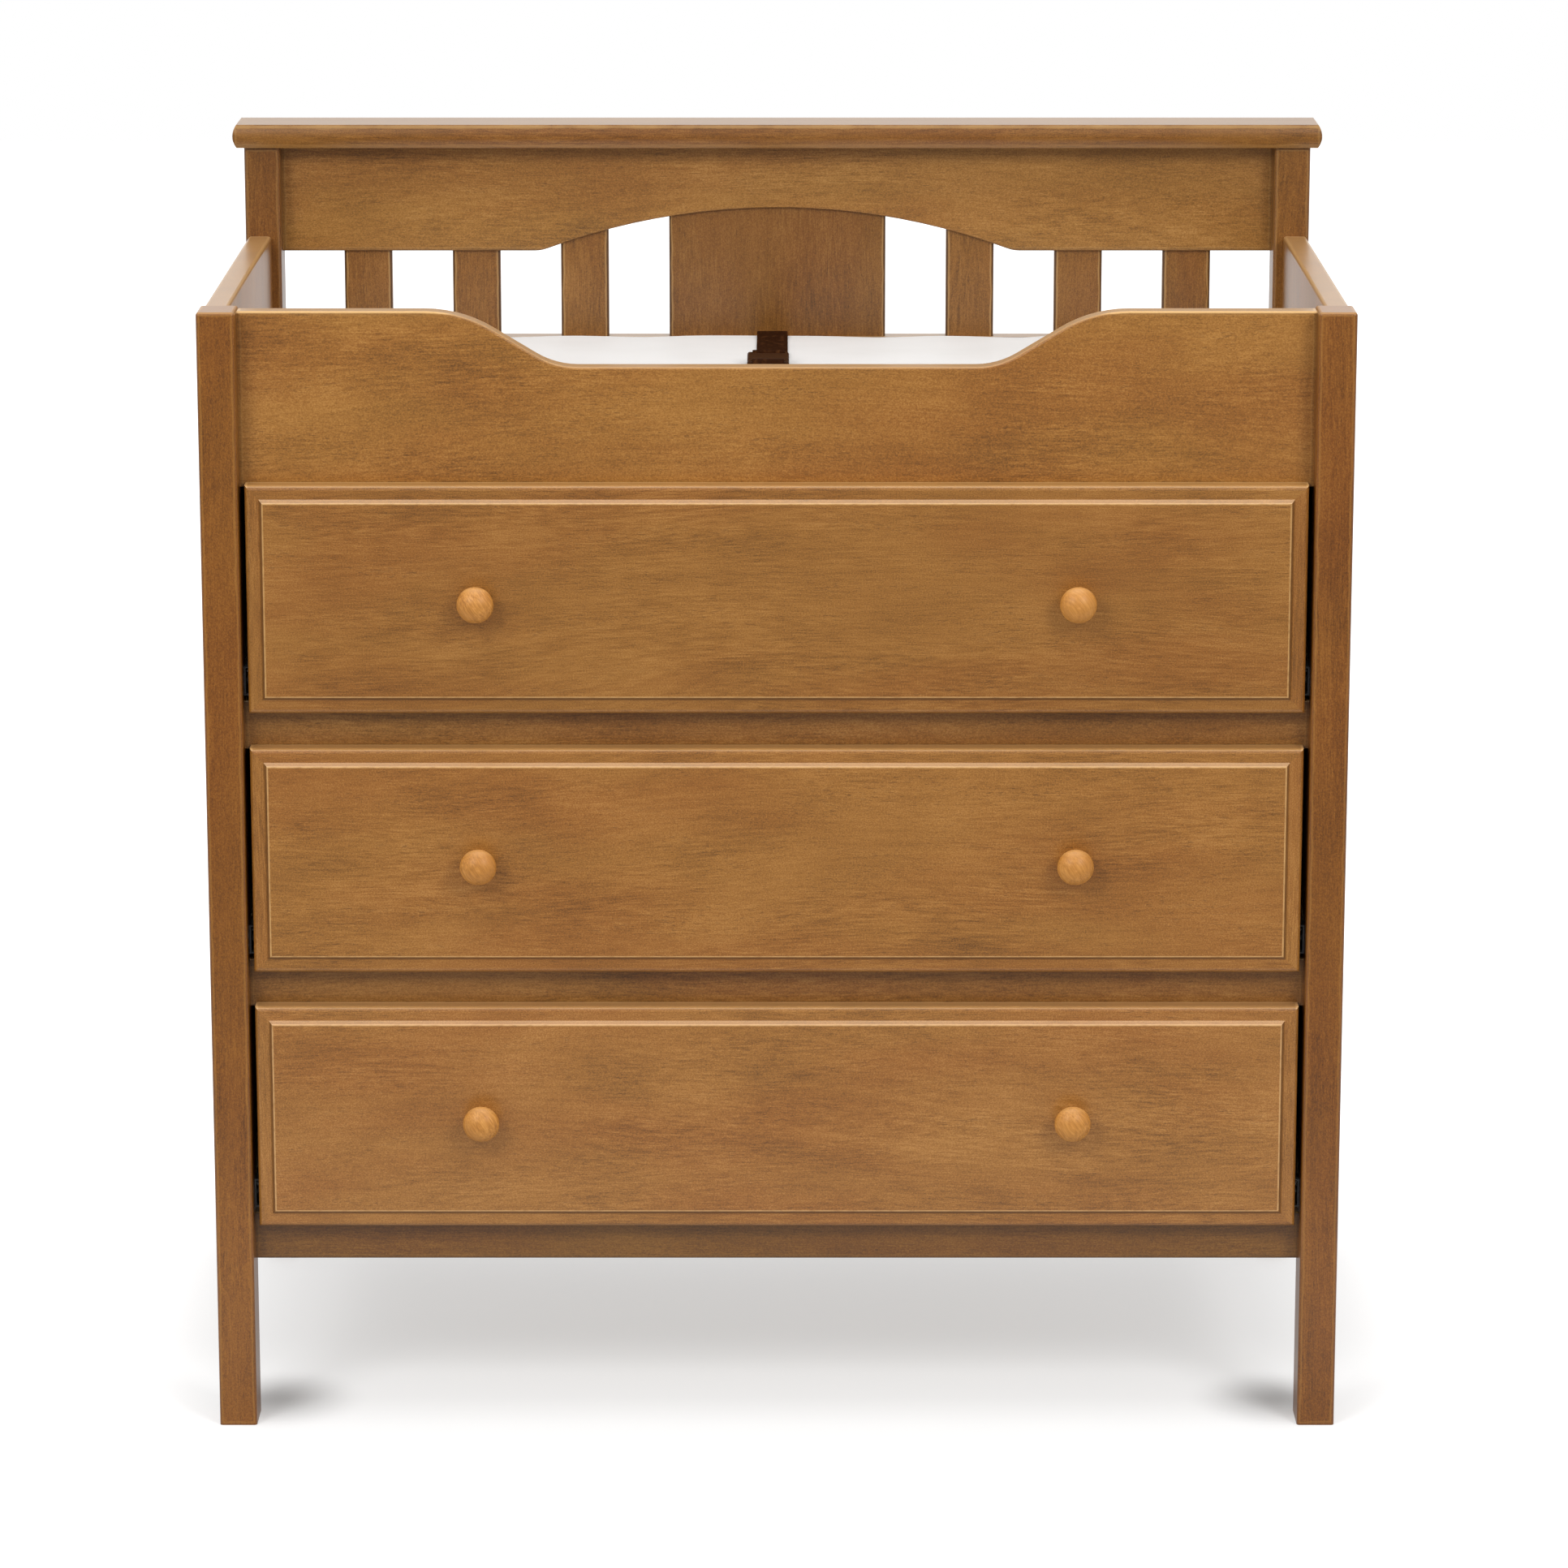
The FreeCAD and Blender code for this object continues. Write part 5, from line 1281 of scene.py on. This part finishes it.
    def webbing(self) -> bpy.types.Material:
        """Dark brown woven nylon.

        Returns:
            The material.
        """
        made, w = new_material("belt_webbing")
        where = w.add("UVMap", uv_map="weave").outputs[0]
        cloth = w.group(self.effects.weave, Vector=where, Pitch=self.weave_pitch)
        marks = w.noise(where, (110.0, 190.0, 1.0), detail=3.0)
        colour = w.mix(cloth["Shade"], self.dark_thread, self.light_thread)
        colour = w.mix(w.ramp(marks, 0.5, 0.7, 0.0, 0.6), colour, self.worn_thread)
        w.surface({"Base Color": colour, "Roughness": w.ramp(marks, 0.2, 0.8, 0.6, 0.75),
                   "Specular IOR Level": 0.03}, cloth["Height"], relief=0.6, depth=0.0003)
        return made

    def build(self) -> None:
        """Make, dress and place both bands and their stitches."""
        material = self.webbing()
        thread = BELT_THREAD.material(self.effects)
        for name, towards in (("rear", 1), ("front", -1)):
            band = self.band(f"belt_{name}", towards)
            band.data.materials.append(material)
            sewing = self.stitches(f"belt_stitches_{name}", towards)
            sewing.data.materials.append(thread)
            for piece in (band, sewing):
                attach(piece, "changing_pad")
        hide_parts("pad_belt")


# ------------------------------------------------------------------ room, light and camera
@dataclass(frozen=True)
class Softbox:
    """One rectangular studio light."""

    name: str
    place: Triple
    width: float
    height: float
    watts: float
    aim: Triple = (0.0, 0.0, 0.45)
    colour: Colour = (1.0, 1.0, 1.0)

    def build(self) -> None:
        """Make the light."""
        data = bpy.data.lights.new(self.name, "AREA")
        data.shape, data.size, data.size_y = "RECTANGLE", self.width, self.height
        data.energy, data.color = self.watts, self.colour
        lamp = bpy.data.objects.new(self.name, data)
        lamp.location = self.place
        way = Vector(self.aim) - Vector(self.place)
        lamp.rotation_euler = way.to_track_quat("-Z", "Y").to_euler()
        bpy.context.scene.collection.objects.link(lamp)


@dataclass
class Studio:
    """Pale floor and world, soft light, and the photograph's camera."""

    floor_size: float = 16.0
    floor_colour: Colour = (0.55, 0.55, 0.55)
    floor_lift: float = 0.52       # light that only the camera and reflections see
    shadow_room: Triple = (0.42, 0.26, 0.0)    # half sides of what the shadow keeps to
    shadow_fade: float = 0.22      # how far outside that the floor turns white
    foot_place: Triple = (0.395, -0.165, 0.0)  # inside a front foot, the middle of a painted shadow
    foot_outer: float = 0.435      # outer side of the feet, where that painted shadow has ended
    foot_reach: float = 0.075
    foot_lift: float = 0.2         # share of the lift that is left there
    world_level: float = 0.58
    front_level: float = 0.25      # what reflections see behind the camera
    front_way: Span = (-0.75, -0.15)       # Y of the directions over which that brightens
    front_floor: float = 0.12      # what they see of the floor well in front of the dresser
    front_fade: Span = (-1.7, -0.3)        # Y over which that floor brightens
    near_share: float = 0.4        # share of the darkening that is left beside the dresser
    floor_drop: float = 0.0002     # below the feet
    camera_place: Triple = (0.0055, -4.6565, 1.545)
    camera_tilt: float = 13.1      # degrees below the horizon
    lens: float = 137.1            # millimetres, as is the sensor's width
    sensor: float = 36.0
    lights: tuple[Softbox, ...] = (
        Softbox("key_left", (-1.9, -3.0, 2.6), 1.3, 1.3, 49.0),
        Softbox("key_right", (1.9, -3.0, 2.6), 1.1, 1.1, 48.0),
        Softbox("overhead", (0.0, -0.8, 3.9), 3.0, 1.6, 38.0),
    )

    @staticmethod
    def seen(w: Wiring) -> Socket:
        """Mask of the rays that see the studio as white.

        Args:
            w: wiring of the material or world.

        Returns:
            1 for rays from the camera, a mirror or a clear piece, and 0 for the rest.
        """
        path = w.add("LightPath").outputs
        either = w.calc("MAXIMUM", path["Is Camera Ray"], path["Is Glossy Ray"])
        return w.calc("MAXIMUM", either, path["Is Transmission Ray"])

    def build_floor(self) -> None:
        """Make the floor, a plane just under the feet.

        The camera and reflections see it lifted: white all round, less under the dresser, and
        least inside each front foot, which paints a shadow there. Reflections see it darken
        towards the camera, as a floor outside the lamps does.
        """
        half = self.floor_size / 2
        corners = [(x * half, y * half, -self.floor_drop)
                   for x, y in ((-1, -1), (1, -1), (1, 1), (-1, 1))]
        floor = mesh_object("studio_floor", corners, [(0, 1, 2, 3)], smooth=False)
        made, w = new_material("floor_paper")
        here = w.add("TexCoord").outputs["Object"]
        x, y, _ = w.channels(here)
        tooth = w.noise(here, (3.0, 3.0, 3.0), detail=2.0)
        paper = w.mix(tooth, self.floor_colour, tuple(0.99 * c for c in self.floor_colour))
        dark = w.ramp(y, *self.front_fade, 1.0, self.near_share)
        dark = w.calc("MULTIPLY", dark, w.add("LightPath").outputs["Is Glossy Ray"])
        kept = w.calc("MULTIPLY_ADD", dark, self.front_floor - 1.0, 1.0)
        paper = w.mix(1.0, paper, kept, blend="MULTIPLY")
        diffuse = w.add("BsdfDiffuse", {"Color": paper})
        away = w.vector("SUBTRACT", w.vector("ABSOLUTE", here), self.shadow_room)
        away = w.length(w.vector("MAXIMUM", away, (0.0, 0.0, 0.0)))
        lift = w.ramp(away, 0.0, self.shadow_fade, self.floor_lift, 1.0)
        aside = w.calc("ABSOLUTE", x)
        # painted shadow inside each front foot: less lift there
        foot = w.length(w.vector("SUBTRACT", w.join(aside, y), self.foot_place))
        foot = w.ramp(foot, 0.0, self.foot_reach, self.foot_lift, 1.0)
        outside = w.ramp(aside, self.foot_place[0], self.foot_outer)
        lift = w.product(lift, w.calc("MAXIMUM", foot, outside), kept, self.seen(w))
        glow = w.add("Emission", {"Color": (1.0, 1.0, 1.0), "Strength": lift})
        both = w.add("AddShader", {0: diffuse.outputs[0], 1: glow.outputs[0]})
        w.add("OutputMaterial", {"Surface": both.outputs[0]})
        floor.data.materials.append(made)

    def build_world(self) -> None:
        """White to the camera, white in reflections but for the dim side in front of the
        dresser, and a plain level for the rest."""
        world = bpy.data.worlds.new("studio")
        world.use_nodes = True
        world.node_tree.nodes.clear()
        w = Wiring(world.node_tree)
        _, way, _ = w.channels(w.add("TexCoord").outputs["Generated"])
        gloss = w.add("LightPath").outputs["Is Glossy Ray"]
        dim = w.ramp(way, *self.front_way, 1.0 - self.front_level, 0.0)
        plain = w.calc("MAXIMUM", self.seen(w), self.world_level)
        strength = w.calc("SUBTRACT", plain, w.calc("MULTIPLY", gloss, dim))
        sky = w.add("Background", {"Color": (1.0, 1.0, 1.0), "Strength": strength})
        w.add("OutputWorld", {"Surface": sky.outputs[0]})
        bpy.context.scene.world = world

    def build_camera(self) -> None:
        """Make the camera at the photograph's viewing angle."""
        data = bpy.data.cameras.new("photograph")
        data.sensor_width, data.lens = self.sensor, self.lens
        data.clip_start, data.clip_end = 0.05, 60.0
        camera = bpy.data.objects.new("photograph", data)
        camera.location = self.camera_place
        camera.rotation_euler = (math.radians(90.0 - self.camera_tilt), 0.0, 0.0)
        bpy.context.scene.collection.objects.link(camera)
        bpy.context.scene.camera = camera

    def build(self) -> None:
        """Make the whole studio."""
        bpy.context.scene.view_settings.view_transform = "Standard"
        self.build_camera()
        self.build_floor()
        self.build_world()
        for light in self.lights:
            light.build()
        LOG.info("studio: %d lights", len(self.lights))


def main() -> None:
    """Build the studio, dress the CAD pieces and make the soft ones."""
    logging.basicConfig(level=logging.INFO, format="%(name)s: %(message)s")
    Studio().build()
    effects = Effects()
    Woodwork(effects).dress()
    Hardware(effects).dress()
    pad = ChangingPad().build()
    Belt(pad, effects).build()


if __name__ == "__main__":
    main()
